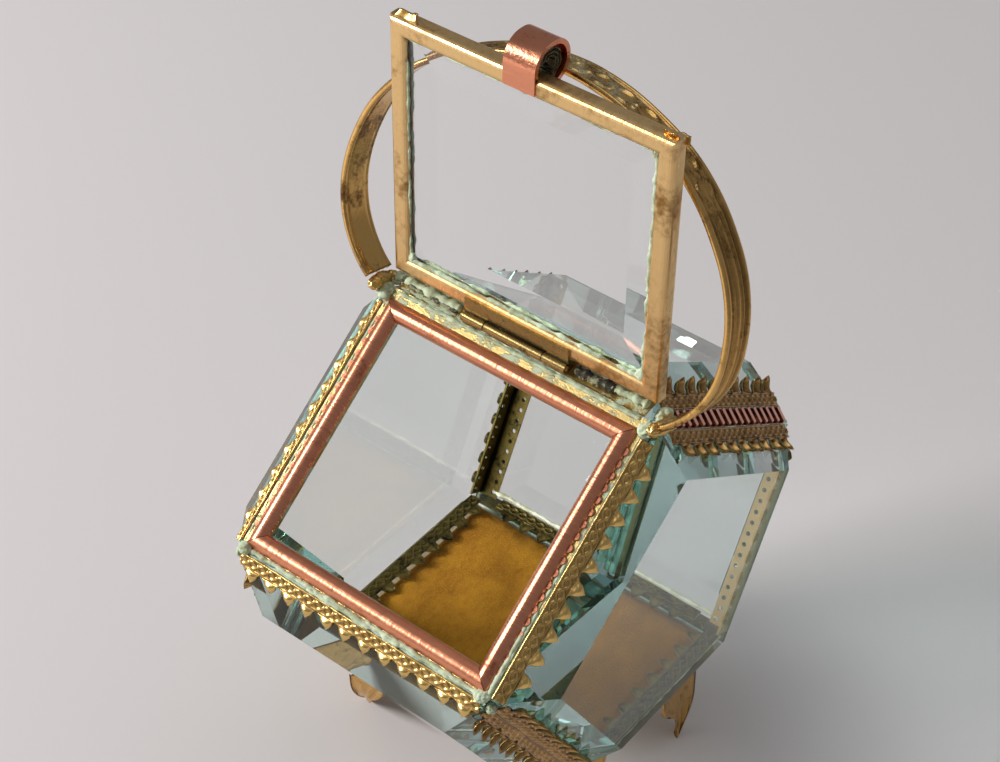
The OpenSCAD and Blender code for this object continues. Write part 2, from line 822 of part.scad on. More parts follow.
// Hoop line: half an ellipse over the widest place, and arcs that draw in to the ridge's ends
hoop_rise = hoop_top_h - hoop_wide_h;
hoop_out = 2.9;
hoop_end_x = end_x + hoop_out;
hoop_end_y = 1.3;
lower_a = 2 * atan2(hoop_half_w - hoop_end_x, hoop_wide_h - hoop_end_y);
lower_r = (hoop_wide_h - hoop_end_y) / sin(lower_a);
lower_c = [hoop_half_w - lower_r, hoop_wide_h];
lower_steps = 12;
upper_steps = 24;
function upper_point(a, off) = [hoop_half_w * cos(a), hoop_wide_h + hoop_rise * sin(a)]
    + off * unit([cos(a) / hoop_half_w, sin(a) / hoop_rise]);

// Line from the hoop's right end over the crown to its left end, moved outwards by off
function hoop_half(off) = concat(
    [for (i = [0:lower_steps]) let (a = lower_a * (i / lower_steps - 1))
        lower_c + (lower_r + off) * [cos(a), sin(a)]],
    [for (i = [1:upper_steps]) upper_point(90 * i / upper_steps, off)]);
function hoop_line(off) = let (half = hoop_half(off), n = len(half))
    concat(half, [for (i = [n - 2:-1:0]) [-half[i][0], half[i][1]]]);

// Strap: a sheet with raised borders and a rib between them, built up across its width
rim_up = 0.4;
border_w = 0.8;
rib_w = 1;
module strap_layer(low, high, up) {
    outer = hoop_line(strap_t / 2 + up);
    inner = hoop_line(-strap_t / 2);
    translate([0, 0, low]) linear_extrude(high - low)
        polygon(concat(outer, [for (i = [len(inner) - 1:-1:0]) inner[i]]));
}

module handle_hoop() {
    edge = strap_w / 2;
    color(brass) on_hoop() {
        strap_layer(-edge, border_w - edge, rim_up);
        strap_layer(border_w - edge, -rib_w / 2, 0);
        strap_layer(-rib_w / 2, rib_w / 2, rim_up / 2);
        strap_layer(rib_w / 2, edge - border_w, 0);
        strap_layer(edge - border_w, edge, rim_up);
    }
}

// Solder knot at a ridge end: the strap's end stands on its cut face
knot_drop = [hoop_end_x - 0.9, hoop_end_y - 0.5];
knot_over = 0.4;
lug_r = 1.1;
lug_at = [end_x + 1.4, 0.1];
module handle_knot_right() {
    color(solder) on_hoop() difference() {
        union() {
            translate([knot_drop[0], knot_drop[1], -strap_w / 2 - knot_over])
                cylinder(r = knot_r, h = strap_w + 2 * knot_over);
            translate([lug_at[0], lug_at[1], -strap_w / 2]) cylinder(r = lug_r, h = strap_w);
        }
        translate([lower_c[0], lower_c[1], -strap_w]) rotate([0, 0, -lower_a])
            cube([2 * lower_r, lower_r, 2 * strap_w]);
    }
}

module handle_knot_left() {
    left_side() handle_knot_right();
}

glass_front();
glass_back_lower();
glass_back_upper();
glass_end_left();
glass_end_right();
floor_tray();
floor_card();
velvet_pad();
inner_angle_front_left();
inner_angle_front_right();
inner_angle_back_left();
inner_angle_back_right();
floor_gallery_left();
floor_gallery_right();
floor_gallery_front();
floor_gallery_back();
base_strip_front();
base_strip_back();
base_strip_left();
base_strip_right();
foot_front_left();
foot_front_right();
foot_back_left();
foot_back_right();
gallery_front();
gallery_back();
gallery_slope_left();
gallery_slope_right();
gallery_corner_front_left();
gallery_corner_front_right();
gallery_corner_back_left();
gallery_corner_back_right();
gallery_roof_left();
gallery_roof_right();
copper_braid_left();
copper_braid_right();
opening_ledge();
copper_rail_left();
copper_rail_right();
copper_rail_front();
copper_rail_back();
ridge_strip();
hinge_leaf_fixed();
hinge_pin();
lid_frame();
lid_glass();
hinge_leaf_lid();
clasp_roll();
handle_hoop();
handle_knot_left();
handle_knot_right();
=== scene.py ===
"""Glass casket: bevelled panes in stamped brass strips, a copper-trimmed opening, a glazed
lid leaning on its hoop handle, folded leaf feet and a mustard velvet pad."""
import json
import math
import random

import bmesh
import bpy
from mathutils import Matrix, Vector, noise


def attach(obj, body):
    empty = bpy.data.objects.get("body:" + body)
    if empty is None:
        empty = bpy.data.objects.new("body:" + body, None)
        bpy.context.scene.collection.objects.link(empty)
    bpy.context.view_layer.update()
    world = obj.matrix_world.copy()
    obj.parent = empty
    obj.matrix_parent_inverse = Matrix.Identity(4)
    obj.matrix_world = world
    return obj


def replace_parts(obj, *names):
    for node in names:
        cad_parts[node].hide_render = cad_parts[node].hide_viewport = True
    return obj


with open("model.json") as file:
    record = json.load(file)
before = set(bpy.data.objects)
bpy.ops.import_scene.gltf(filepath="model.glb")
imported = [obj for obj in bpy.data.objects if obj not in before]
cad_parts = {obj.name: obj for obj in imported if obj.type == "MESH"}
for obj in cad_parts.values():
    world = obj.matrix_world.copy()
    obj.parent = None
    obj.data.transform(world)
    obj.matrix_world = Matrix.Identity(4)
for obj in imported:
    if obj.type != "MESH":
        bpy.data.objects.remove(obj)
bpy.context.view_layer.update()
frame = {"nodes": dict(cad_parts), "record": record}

MM = 0.001
CASKET = "casket"
LID = "lid"

# Sizes of the casket, in millimetres, as the frame has them
FOOT_H = 24.0
END_X = 26.0
HALF_D = 40.0
HALF_F = 18.7
MID_H = 37.4
RIDGE_H = 66.0
EDGE_T = 1.6
EDGE_GAP = 1.0
STRIP_T = 0.35
BAND_W = 2.4
BAND_OVER = 1.5
TOOTH_L = 2.4
TOOTH_PITCH = 4.0
NOTCH_R = 0.85
CORNER_GAP = 2.6
FOLD_HALF = EDGE_GAP * math.sqrt(2) - 0.14

# Lid and hoop, in the lid's and the hoop's own frames
AXIS_Z = FOOT_H + RIDGE_H + 1.5
LID_OPEN = math.radians(87.5)
LID_L = 48.5
RAIL_U0 = 1.2
RAIL_W = 3.2
GLASS_V = 1.4
PANE_X = 24.3
PANE_U0 = 2.9
PANE_U1 = 46.8
HOOP_TILT = math.radians(74.35)
HOOP_HALF_W = 36.4
HOOP_WIDE_H = 16.0
HOOP_RISE = 32.0
HOOP_END = (28.9, 1.3)
STRAP_W = 6.0
STRAP_T = 0.8

IDENTITY = Matrix.Identity(4)
MIRROR_X = Matrix.Scale(-1.0, 4, (1.0, 0.0, 0.0))
MIRROR_Y = Matrix.Scale(-1.0, 4, (0.0, 1.0, 0.0))

# Camera fitted to the photograph's view; its place is in metres
CAMERA_AT = Vector((0.1613, -0.1984, 0.3188))
CAMERA_RIGHT = Vector((0.778, 0.629, -0.015))
CAMERA_UP = Vector((-0.417, 0.534, 0.736))
LENS_MM = 79.2
SENSOR_MM = 36.0


def profile_point(y, z):
    return Vector((0.0, y, FOOT_H + z))


B1 = profile_point(-HALF_F, 0)
B2 = profile_point(HALF_F, 0)
K = profile_point(HALF_D, MID_H)
R = profile_point(0, RIDGE_H)
F = profile_point(-HALF_D, MID_H)
SLOPE_DOWN = (F - R).normalized()
SLOPE_L = (F - R).length


# Shader helpers

def add_node(tree, kind, **settings):
    made = tree.nodes.new(kind)
    for key, value in settings.items():
        setattr(made, key, value)
    return made


def feed(tree, socket, value):
    if isinstance(value, bpy.types.NodeSocket):
        tree.links.new(value, socket)
    else:
        socket.default_value = value


def fed(tree, kind, inputs, output=0, **settings):
    """Adds a node, feeds its inputs and gives one output."""
    made = add_node(tree, kind, **settings)
    for key, value in inputs.items():
        feed(tree, made.inputs[key], value)
    return made.outputs[output]


def sum_up(tree, operation, *values, clamp=False):
    return fed(tree, "ShaderNodeMath", dict(enumerate(values)), operation=operation, use_clamp=clamp)


def blend_colour(tree, share, first, second):
    return fed(tree, "ShaderNodeMix", {0: share, 6: first, 7: second}, 2, data_type="RGBA")


def spread(tree, value, low, high, to_low=0.0, to_high=1.0):
    return fed(tree, "ShaderNodeMapRange", {"Value": value, "From Min": low, "From Max": high,
                                            "To Min": to_low, "To Max": to_high},
               interpolation_type="SMOOTHSTEP")


def noise_at(tree, place, scale, detail=4.0, rough=0.55):
    return fed(tree, "ShaderNodeTexNoise", {"Vector": place, "Scale": scale, "Detail": detail,
                                            "Roughness": rough}, "Fac")


def set_inputs(node, values):
    """Plain values on a node's sockets; a colour of three parts gets its fourth."""
    for label, value in values.items():
        node.inputs[label].default_value = (*value, 1.0) if isinstance(value, tuple) else value


def object_place(tree, stretch=(1.0, 1.0, 1.0), shift=(0.0, 0.0, 0.0)):
    coordinate = fed(tree, "ShaderNodeTexCoord", {}, "Object")
    return fed(tree, "ShaderNodeMapping", {"Vector": coordinate, "Scale": stretch, "Location": shift})


def height_of(tree):
    """The height above the floor of the point that is shaded."""
    return fed(tree, "ShaderNodeSeparateXYZ", {0: object_place(tree)}, "Z")


def lined_place(tree, axis, along, across):
    """A place stretched along one axis of the object and squeezed across it."""
    coordinate = fed(tree, "ShaderNodeTexCoord", {}, "Object")
    axis = Vector(axis).normalized()
    side = axis.orthogonal().normalized()
    ways = (axis * along, side * across, axis.cross(side) * across)
    parts = [fed(tree, "ShaderNodeVectorMath", {0: coordinate, 1: way}, "Value", operation="DOT_PRODUCT")
             for way in ways]
    return fed(tree, "ShaderNodeCombineXYZ", dict(enumerate(parts)))


def new_group(name, inputs, outputs, kind="ShaderNodeTree"):
    """A node tree with its sockets, each given as a label and the end of its type's name."""
    tree = bpy.data.node_groups.new(name, kind)
    for in_out, sockets in (("INPUT", inputs), ("OUTPUT", outputs)):
        for label, ending in sockets:
            tree.interface.new_socket(name=label, in_out=in_out, socket_type="NodeSocket" + ending)
    return tree, add_node(tree, "NodeGroupInput").outputs, add_node(tree, "NodeGroupOutput").inputs


def tarnish_group():
    """Metal that darkens in clouds and recesses and grows a pale green bloom."""
    colour, number = "Color", "Float"
    tree, given, result = new_group(
        "tarnish",
        [("Metal", colour), ("Dark", colour), ("Bloom", colour), ("Open", number),
         ("Dark share", number), ("Bloom share", number), ("Scale", number), ("Polish", number)],
        [("Colour", colour), ("Metallic", number), ("Roughness", number), ("Height", number)])
    place = object_place(tree)
    far_place = object_place(tree, shift=(0.31, 0.17, 0.23))
    cloud = noise_at(tree, place, given["Scale"], 5.0, 0.62)
    grain = noise_at(tree, place, sum_up(tree, "MULTIPLY", given["Scale"], 9.0), 3.0)
    bloom_cloud = noise_at(tree, far_place, sum_up(tree, "MULTIPLY", given["Scale"], 0.8), 6.0, 0.68)
    closed = sum_up(tree, "SUBTRACT", 1.0, given["Open"])

    def patches(cloudy, in_recess, share, edge):
        total = sum_up(tree, "ADD", sum_up(tree, "MULTIPLY_ADD", closed, in_recess, cloudy),
                       sum_up(tree, "MULTIPLY_ADD", grain, 0.3, -0.15))
        start = sum_up(tree, "SUBTRACT", 0.95, sum_up(tree, "MULTIPLY", given[share], 0.7))
        return spread(tree, total, start, sum_up(tree, "ADD", start, edge))

    dark = patches(cloud, 1.3, "Dark share", 0.26)
    bloom = patches(bloom_cloud, 0.4, "Bloom share", 0.1)
    toned = blend_colour(tree, sum_up(tree, "MULTIPLY", grain, 0.5), given["Metal"],
                         blend_colour(tree, 0.35, given["Metal"], given["Dark"]))
    darkened = blend_colour(tree, dark, toned, given["Dark"])
    feed(tree, result["Colour"], blend_colour(tree, bloom, darkened, given["Bloom"]))
    dulled = sum_up(tree, "MULTIPLY", bloom, 0.92)
    feed(tree, result["Metallic"], sum_up(tree, "SUBTRACT", 1.0, dulled))
    rough = sum_up(tree, "ADD", given["Polish"], sum_up(tree, "MULTIPLY", dark, 0.2))
    rougher = sum_up(tree, "MULTIPLY", bloom, 0.45)
    feed(tree, result["Roughness"], sum_up(tree, "ADD", rough, rougher, clamp=True))
    feed(tree, result["Height"], sum_up(tree, "ADD", sum_up(tree, "MULTIPLY", grain, 0.35),
                                        sum_up(tree, "MULTIPLY", bloom, 0.8)))
    return tree


def drawn_group():
    """Fine drawn lines along one direction, as a height from 0 to 1."""
    tree, given, result = new_group("drawn_lines", [("Place", "Vector")], [("Height", "Float")])
    fine = noise_at(tree, given["Place"], 1.0, 2.0)
    coarse = sum_up(tree, "MULTIPLY", noise_at(tree, given["Place"], 0.35, 2.0), 0.4)
    feed(tree, result["Height"], sum_up(tree, "MULTIPLY_ADD", fine, 0.6, coarse))
    return tree


TARNISH = tarnish_group()
DRAWN = drawn_group()


def new_material(name):
    material = bpy.data.materials.new(name)
    material.use_nodes = True
    return material, material.node_tree, material.node_tree.nodes["Principled BSDF"]


def emboss(tree, shader, height, strength, deep_mm):
    """Bump on the shader from a height."""
    relief = fed(tree, "ShaderNodeBump", {"Strength": strength, "Distance": deep_mm * MM, "Height": height})
    tree.links.new(relief, shader.inputs["Normal"])


def metal_material(name, metal, dark, bloom, dark_share, bloom_share, scale=260.0, polish=0.26,
                   bump=0.25, lines=None, recess_mm=0.9, bloom_rise=None):
    material, tree, shader = new_material(name)
    openness = fed(tree, "ShaderNodeAmbientOcclusion", {"Distance": recess_mm * MM}, "AO",
                   samples=4, only_local=True)
    worn = add_node(tree, "ShaderNodeGroup", node_tree=TARNISH)
    set_inputs(worn, {"Metal": metal, "Dark": dark, "Bloom": bloom, "Dark share": dark_share,
                      "Bloom share": bloom_share, "Scale": scale, "Polish": polish})
    if bloom_rise:
        low, high, share = bloom_rise
        feed(tree, worn.inputs["Bloom share"],
             spread(tree, height_of(tree), low * MM, high * MM, bloom_share, share))
    tree.links.new(openness, worn.inputs["Open"])
    tree.links.new(worn.outputs["Colour"], shader.inputs["Base Color"])
    tree.links.new(worn.outputs["Metallic"], shader.inputs["Metallic"])
    height = worn.outputs["Height"]
    rough = worn.outputs["Roughness"]
    if lines:
        drawn = fed(tree, "ShaderNodeGroup", {}, node_tree=DRAWN)
        tree.links.new(lined_place(tree, *lines), drawn.node.inputs["Place"])
        height = sum_up(tree, "MULTIPLY_ADD", drawn, 0.9, height)
        grooves = sum_up(tree, "MULTIPLY_ADD", drawn, 0.3, -0.15)
        rough = sum_up(tree, "ADD", rough, grooves, clamp=True)
    tree.links.new(rough, shader.inputs["Roughness"])
    emboss(tree, shader, height, bump, 0.25)
    return material


# Metals: colour, tarnish, bloom, shares of tarnish and bloom, scale of the clouds, roughness, bump

VERDIGRIS = (0.50, 0.60, 0.43)
GREY_BLOOM = (0.16, 0.18, 0.10)
WHITE_BLOOM = (0.55, 0.63, 0.45)
COPPER_BLOOM = (0.50, 0.55, 0.40)
COPPER_METAL = (0.80, 0.32, 0.185)
COPPER_DARK = (0.18, 0.042, 0.016)
BRASS = metal_material("gilt_brass", (0.86, 0.58, 0.20), (0.16, 0.075, 0.022), VERDIGRIS,
                       0.50, 0.10, polish=0.27)
LID_BRASS = metal_material("lid_brass", (0.86, 0.58, 0.26), (0.32, 0.17, 0.055), VERDIGRIS,
                           0.70, 0.14, 120.0, 0.30, 0.2, lines=((0, 0, 1), 200.0, 2600.0))
HOOP_BRASS = metal_material("hoop_brass", (0.78, 0.47, 0.15), (0.11, 0.045, 0.014), VERDIGRIS,
                            0.64, 0.26, 160.0, 0.22, 0.3, recess_mm=1.3,
                            bloom_rise=(118.0, 134.0, 0.46))
ROOF_BRASS = metal_material("roof_brass", (0.60, 0.36, 0.13), (0.07, 0.028, 0.01), VERDIGRIS,
                            0.58, 0.06, polish=0.24)
OLD_BRASS = metal_material("old_brass", (0.44, 0.31, 0.12), (0.05, 0.035, 0.015), VERDIGRIS, 0.6, 0.14)
DARK_BRASS = metal_material("dark_brass", (0.17, 0.13, 0.055), (0.018, 0.016, 0.008), GREY_BLOOM, 0.55, 0.10)
# Inner brass: its dark colour is partly the patina of the casket's inside and partly painted shade of the
# inside
INNER_BRASS_PATINA_AND_SHADE = metal_material("inner_brass_patina_and_painted_shade", (0.30, 0.21, 0.06), (0.014, 0.014, 0.008), GREY_BLOOM,
                             0.68, 0.02, 330.0, 0.3)
ANGLE_BRASS = metal_material("angle_brass", (0.84, 0.58, 0.24), (0.30, 0.18, 0.07), (0.66, 0.60, 0.42),
                             0.42, 0.14, 300.0, 0.36)
FOOT_BRASS = metal_material("foot_brass", (0.84, 0.50, 0.16), (0.13, 0.05, 0.015), VERDIGRIS,
                            0.56, 0.06, 260.0, 0.24)
COPPER_CROSS = metal_material("drawn_copper_cross", COPPER_METAL, COPPER_DARK, COPPER_BLOOM,
                              0.46, 0.06, 170.0, 0.33, 0.3, lines=((1, 0, 0), 2000.0, 300.0))
COPPER_SIDE = metal_material("drawn_copper_side", COPPER_METAL, COPPER_DARK, COPPER_BLOOM,
                             0.56, 0.05, 150.0, 0.28, 0.22, lines=(SLOPE_DOWN, 2400.0, 300.0))
COPPER_WIRE = metal_material("copper_wire", (0.80, 0.40, 0.30), (0.12, 0.03, 0.015), COPPER_BLOOM,
                             0.5, 0.04, 260.0, 0.22, recess_mm=0.7)
COPPER_ROLL = metal_material("rolled_copper", (0.82, 0.33, 0.19), (0.20, 0.045, 0.02), (0.42, 0.50, 0.38),
                             0.55, 0.10, 230.0, 0.22, 0.35, lines=((0, 0.1, 1), 1500.0, 250.0), recess_mm=1.2)
# Inside of the roll: dull dark copper with verdigris, darkened further as painted shade of the roll's hollow
# end
COPPER_INSIDE_VERDIGRIS_AND_SHADE = metal_material("roll_inside_verdigris_and_painted_shade", (0.20, 0.15, 0.08), (0.03, 0.03, 0.02), (0.20, 0.27, 0.20),
                               0.6, 0.3)
SOLDER = metal_material("bloomed_solder", (0.60, 0.45, 0.18), (0.10, 0.06, 0.02), WHITE_BLOOM,
                        0.55, 0.66, 420.0, 0.34, 0.5)
KNOT_SOLDER = metal_material("knot_solder", (0.80, 0.52, 0.18), (0.14, 0.07, 0.02), WHITE_BLOOM,
                             0.4, 0.30, 420.0, 0.26, 0.5)


def crust_material(name, pale, mid, dark, dark_share):
    """Dull crumbling crust: pale, with darker grains and pits."""
    material, tree, shader = new_material(name)
    place = object_place(tree)
    cloud = noise_at(tree, place, 420.0, 5.0, 0.65)
    grain = noise_at(tree, place, 2400.0, 3.0)
    body = blend_colour(tree, spread(tree, cloud, 0.38, 0.62), (*mid, 1.0), (*pale, 1.0))
    pit_from = 0.54 + 0.27 * dark_share ** 2
    pits = spread(tree, sum_up(tree, "MULTIPLY_ADD", grain, 0.45, cloud), pit_from, pit_from - 0.08)
    pitted = blend_colour(tree, sum_up(tree, "MULTIPLY", pits, dark_share), body, (*dark, 1.0))
    tree.links.new(pitted, shader.inputs["Base Color"])
    set_inputs(shader, {"Roughness": 0.7})
    emboss(tree, shader, sum_up(tree, "MULTIPLY_ADD", grain, 0.5, cloud), 0.6, 0.3)
    return material


CRUST = crust_material("mint_crust", (0.62, 0.72, 0.52), (0.40, 0.45, 0.27), (0.12, 0.075, 0.03), 0.48)
DARK_CRUST = crust_material("dark_crust", (0.30, 0.30, 0.17), (0.10, 0.08, 0.035), (0.012, 0.010, 0.006), 0.9)
PUTTY = crust_material("pale_putty", (0.52, 0.66, 0.58), (0.30, 0.42, 0.35), (0.05, 0.09, 0.07), 0.5)
CREAM = crust_material("cream_putty", (0.74, 0.72, 0.56), (0.52, 0.49, 0.33), (0.14, 0.12, 0.06), 0.5)


def glass_material(name, tint, depth_colour, depth_density):
    """Clear glass whose long paths turn green; its shadow is a pale one."""
    material, tree, shader = new_material(name)
    set_inputs(shader, {"Base Color": tint, "Metallic": 0.0, "Transmission Weight": 1.0, "Roughness": 0.0,
                        "IOR": 1.5})
    emboss(tree, shader, noise_at(tree, object_place(tree), 60.0, 1.0), 0.03, 0.3)
    passing = fed(tree, "ShaderNodeBsdfTransparent", {"Color": (0.73, 0.76, 0.75, 1.0)})
    in_shadow = fed(tree, "ShaderNodeLightPath", {}, "Is Shadow Ray")
    mixed = fed(tree, "ShaderNodeMixShader", {0: in_shadow, 1: shader.outputs[0], 2: passing})
    inside = fed(tree, "ShaderNodeVolumeAbsorption", {"Color": (*depth_colour, 1.0),
                                                      "Density": depth_density})
    output = tree.nodes["Material Output"]
    tree.links.new(mixed, output.inputs["Surface"])
    tree.links.new(inside, output.inputs["Volume"])
    return material


GLASS = glass_material("bevelled_glass", (0.985, 0.99, 0.988), (0.22, 0.70, 0.64), 12.0)


def velvet_material():
    material, tree, shader = new_material("mustard_velvet")
    place = object_place(tree)
    nap = noise_at(tree, place, 75.0, 5.0, 0.68)
    across = object_place(tree, stretch=(1.0, 0.35, 1.0), shift=(0.2, 0.1, 0.0))
    brushed = noise_at(tree, across, 160.0, 3.0)
    thread = noise_at(tree, place, 3600.0, 2.0)
    strand = noise_at(tree, object_place(tree, stretch=(1.0, 0.45, 1.0)), 1300.0, 4.0, 0.7)
    streaks = sum_up(tree, "MULTIPLY_ADD", strand, 0.4, sum_up(tree, "MULTIPLY", brushed, 0.45))
    crushed = spread(tree, sum_up(tree, "MULTIPLY_ADD", nap, 0.8, streaks), 0.62, 1.0)
    base = blend_colour(tree, crushed, (0.22, 0.080, 0.004, 1.0), (0.38, 0.160, 0.010, 1.0))
    specks = spread(tree, thread, 0.45, 0.75, 0.0, 0.4)
    tree.links.new(blend_colour(tree, specks, base, (0.48, 0.24, 0.025, 1.0)), shader.inputs["Base Color"])
    set_inputs(shader, {"Roughness": 0.92, "Specular IOR Level": 0.2, "Sheen Weight": 0.05,
                        "Sheen Roughness": 0.35, "Sheen Tint": (0.95, 0.70, 0.28)})
    pile = sum_up(tree, "MULTIPLY_ADD", nap, 1.4, thread)
    emboss(tree, shader, sum_up(tree, "MULTIPLY_ADD", strand, 0.8, pile), 0.7, 0.2)
    return material


def card_material():
    material, tree, shader = new_material("grey_card")
    fibre = noise_at(tree, object_place(tree, stretch=(1.0, 0.3, 1.0)), 900.0, 4.0)
    tree.links.new(blend_colour(tree, fibre, (0.22, 0.17, 0.11, 1.0), (0.36, 0.29, 0.20, 1.0)),
                   shader.inputs["Base Color"])
    set_inputs(shader, {"Roughness": 0.9})
    return material


VELVET = velvet_material()
CARD = card_material()


# Mesh helpers

def linked(name, data):
    made = bpy.data.objects.new(name, data)
    bpy.context.scene.collection.objects.link(made)
    return made


def new_piece(name, mesh, material, body, slot, flat=False):
    piece = linked(name, mesh)
    mesh.materials.clear()
    mesh.materials.append(material)
    for face in mesh.polygons:
        face.use_smooth = not flat
    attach(piece, body)
    return piece


def one_finish(mesh):
    """Gives every face the piece's first material."""
    for face in mesh.polygons:
        face.material_index = 0
    return mesh


def after_modifiers(piece):
    """A plain mesh of what the piece's modifiers make of it."""
    bpy.context.view_layer.update()
    return bpy.data.meshes.new_from_object(piece.evaluated_get(bpy.context.evaluated_depsgraph_get()))


def closed_data(name, mesh):
    bmesh.ops.remove_doubles(mesh, verts=mesh.verts, dist=1e-6)
    bmesh.ops.recalc_face_normals(mesh, faces=mesh.faces)
    data = bpy.data.meshes.new(name)
    mesh.to_mesh(data)
    mesh.free()
    return data


def sheet_mesh(name, top, base):
    """Closed thin sheet between two grids of points of equal size."""
    mesh = bmesh.new()
    rows, columns = len(top), len(top[0])
    upper = [[mesh.verts.new(point) for point in row] for row in top]
    lower = [[mesh.verts.new(point) for point in row] for row in base]
    for i in range(rows - 1):
        for j in range(columns - 1):
            mesh.faces.new((upper[i][j], upper[i][j + 1], upper[i + 1][j + 1], upper[i + 1][j]))
            below = mesh.faces.new((lower[i][j], lower[i + 1][j], lower[i + 1][j + 1], lower[i][j + 1]))
            below.material_index = 1
    for i in range(rows - 1):
        mesh.faces.new((upper[i][0], upper[i + 1][0], lower[i + 1][0], lower[i][0]))
        last = columns - 1
        mesh.faces.new((upper[i][last], lower[i][last], lower[i + 1][last], upper[i + 1][last]))
    for j in range(columns - 1):
        mesh.faces.new((upper[0][j], lower[0][j], lower[0][j + 1], upper[0][j + 1]))
        last = rows - 1
        mesh.faces.new((upper[last][j], upper[last][j + 1], lower[last][j + 1], lower[last][j]))
    return closed_data(name, mesh)


def grid_sheet(name, rows, columns, points):
    """A sheet from a function that gives its upper and lower points at a row and a column."""
    grid = [[points(i, j) for j in range(columns + 1)] for i in range(rows + 1)]
    return sheet_mesh(name, [[both[0] for both in row] for row in grid],
                      [[both[1] for both in row] for row in grid])


def loft_mesh(name, loops):
    """Closed body through loops of equally many points, capped by fans."""
    mesh = bmesh.new()
    rings = [[mesh.verts.new(point) for point in loop] for loop in loops]
    count = len(rings[0])
    for low, high in zip(rings, rings[1:]):
        for i in range(count):
            j = (i + 1) % count
            mesh.faces.new((low[i], low[j], high[j], high[i]))
    for ring, loop in ((rings[0], loops[0]), (rings[-1], loops[-1])):
        middle = mesh.verts.new(sum((Vector(point) for point in loop), Vector()) / count)
        for i in range(count):
            mesh.faces.new((ring[i], ring[(i + 1) % count], middle))
    return closed_data(name, mesh)


def frame_matrix(x_axis, y_axis, z_axis, origin):
    rows = Matrix((x_axis, y_axis, z_axis)).transposed().to_4x4()
    rows.translation = origin
    return rows


def bevel_frame(p, q):
    """Frame on the bevel of the right end pane's edge p to q: x along it, y up the bevel, z outwards."""
    along = (q - p).normalized()
    inward = Vector((0.0, -along.z, along.y))
    outward = Vector((1.0, 0.0, 0.0))
    base = p + outward * (END_X + EDGE_T / 2) + inward * EDGE_GAP
    rise = (inward + outward) / math.sqrt(2)
    normal = (outward - inward) / math.sqrt(2)
    return frame_matrix(along, rise, normal, base)


def wall_bevel_frame(edge_point, towards):
    """Frame on a wall's bevel along X at the profile point edge_point, rising towards the other point."""
    along_wall = (towards - edge_point).normalized()
    wall_out = Vector((0.0, along_wall.z, -along_wall.y))
    if wall_out.dot(edge_point - profile_point(0, MID_H * 0.8)) < 0:
        wall_out = -wall_out
    base = edge_point + along_wall * EDGE_GAP + wall_out * EDGE_T / 2
    rise = (along_wall + wall_out) / math.sqrt(2)
    normal = (wall_out - along_wall) / math.sqrt(2)
    return frame_matrix(rise.cross(normal), rise, normal, base)


LID_FRAME = frame_matrix((-1, 0, 0), (0, math.cos(LID_OPEN), math.sin(LID_OPEN)),
                         (0, math.sin(LID_OPEN), -math.cos(LID_OPEN)), (0, 0, AXIS_Z))
HOOP_FRAME = frame_matrix((1, 0, 0), (0, math.cos(HOOP_TILT), math.sin(HOOP_TILT)),
                          (0, -math.sin(HOOP_TILT), math.cos(HOOP_TILT)), (0, 0, FOOT_H + RIDGE_H))
SLOPE_FRAME = frame_matrix((-1, 0, 0), SLOPE_DOWN, (0, SLOPE_DOWN.z, -SLOPE_DOWN.y), R)


def placed(mesh, matrix=IDENTITY, mirror=False):
    """Moves a mesh that was drawn in millimetres into its place, in metres."""
    if mirror:
        matrix = MIRROR_X @ matrix
    mesh.transform(Matrix.Scale(MM, 4) @ matrix)
    if matrix.determinant() < 0:
        mesh.flip_normals()
    return mesh


def joined(name, meshes):
    """One mesh of several, each with the matrix that places it, in millimetres."""
    whole = bmesh.new()
    for mesh, matrix in meshes:
        part = mesh.copy()
        part.transform(matrix)
        if matrix.determinant() < 0:
            part.flip_normals()
        whole.from_mesh(part)
        bpy.data.meshes.remove(part)
    data = bpy.data.meshes.new(name)
    whole.to_mesh(data)
    whole.free()
    return data


def shifted(parts, matrix):
    return [(mesh, matrix @ own) for mesh, own in parts]


def smooth(low, high, value):
    share = min(max((value - low) / (high - low), 0.0), 1.0)
    return share * share * (3 - 2 * share)


def bump_at(value, middle, width):
    return math.exp(-((value - middle) / width) ** 2)


def resampled(points, step):
    """Points a step apart along a line of points."""
    points = [Vector(point) for point in points]
    made = [points[0]]
    for a, b in zip(points, points[1:]):
        count = max(1, round((b - a).length / step))
        made += [a.lerp(b, i / count) for i in range(1, count + 1)]
    return made


def crust_bead(points, radius, seed, flat=1.0, up=Vector((0, 0, 1)), patchy=0.0, step=0.3):
    """A lumpy bead along a line: its thickness wanders, and where it is patchy it dies away."""
    line = resampled(points, step)
    drift = Vector((seed * 3.7, seed * 1.9, seed * 5.3))
    directions = [(math.cos(angle), math.sin(angle)) for angle in (2 * math.pi * k / 9 for k in range(9))]
    loops = []
    for i, point in enumerate(line):
        along = (line[min(i + 1, len(line) - 1)] - line[max(i - 1, 0)]).normalized()
        side = along.cross(up).normalized()
        lift = side.cross(along)
        share = i / (len(line) - 1)
        end = min(1.0, math.sqrt(max(share * (1 - share) * len(line) * 0.8, 0.02)))
        swell = 1.0 + 0.5 * noise.noise(point * 0.9 + drift) + 0.25 * noise.noise(point * 2.7 + drift)
        if patchy:
            swell *= 0.12 + 0.88 * smooth(-0.25, 0.15, noise.noise(point * 0.28 + drift * 2) + 0.25 - patchy)
        wander = side * 0.18 * noise.noise(point * 0.6 + drift * 3)
        wander += lift * 0.1 * noise.noise(point * 0.8 - drift)
        loop = []
        for a, b in directions:
            rough = 1.0 + 0.28 * noise.noise(point * 1.6 + drift + Vector((a, b, 0)) * 1.3)
            reach = radius * swell * end * rough
            loop.append(point + wander + side * a * reach + lift * b * reach * flat)
        loops.append(loop)
    return loft_mesh("bead", loops)


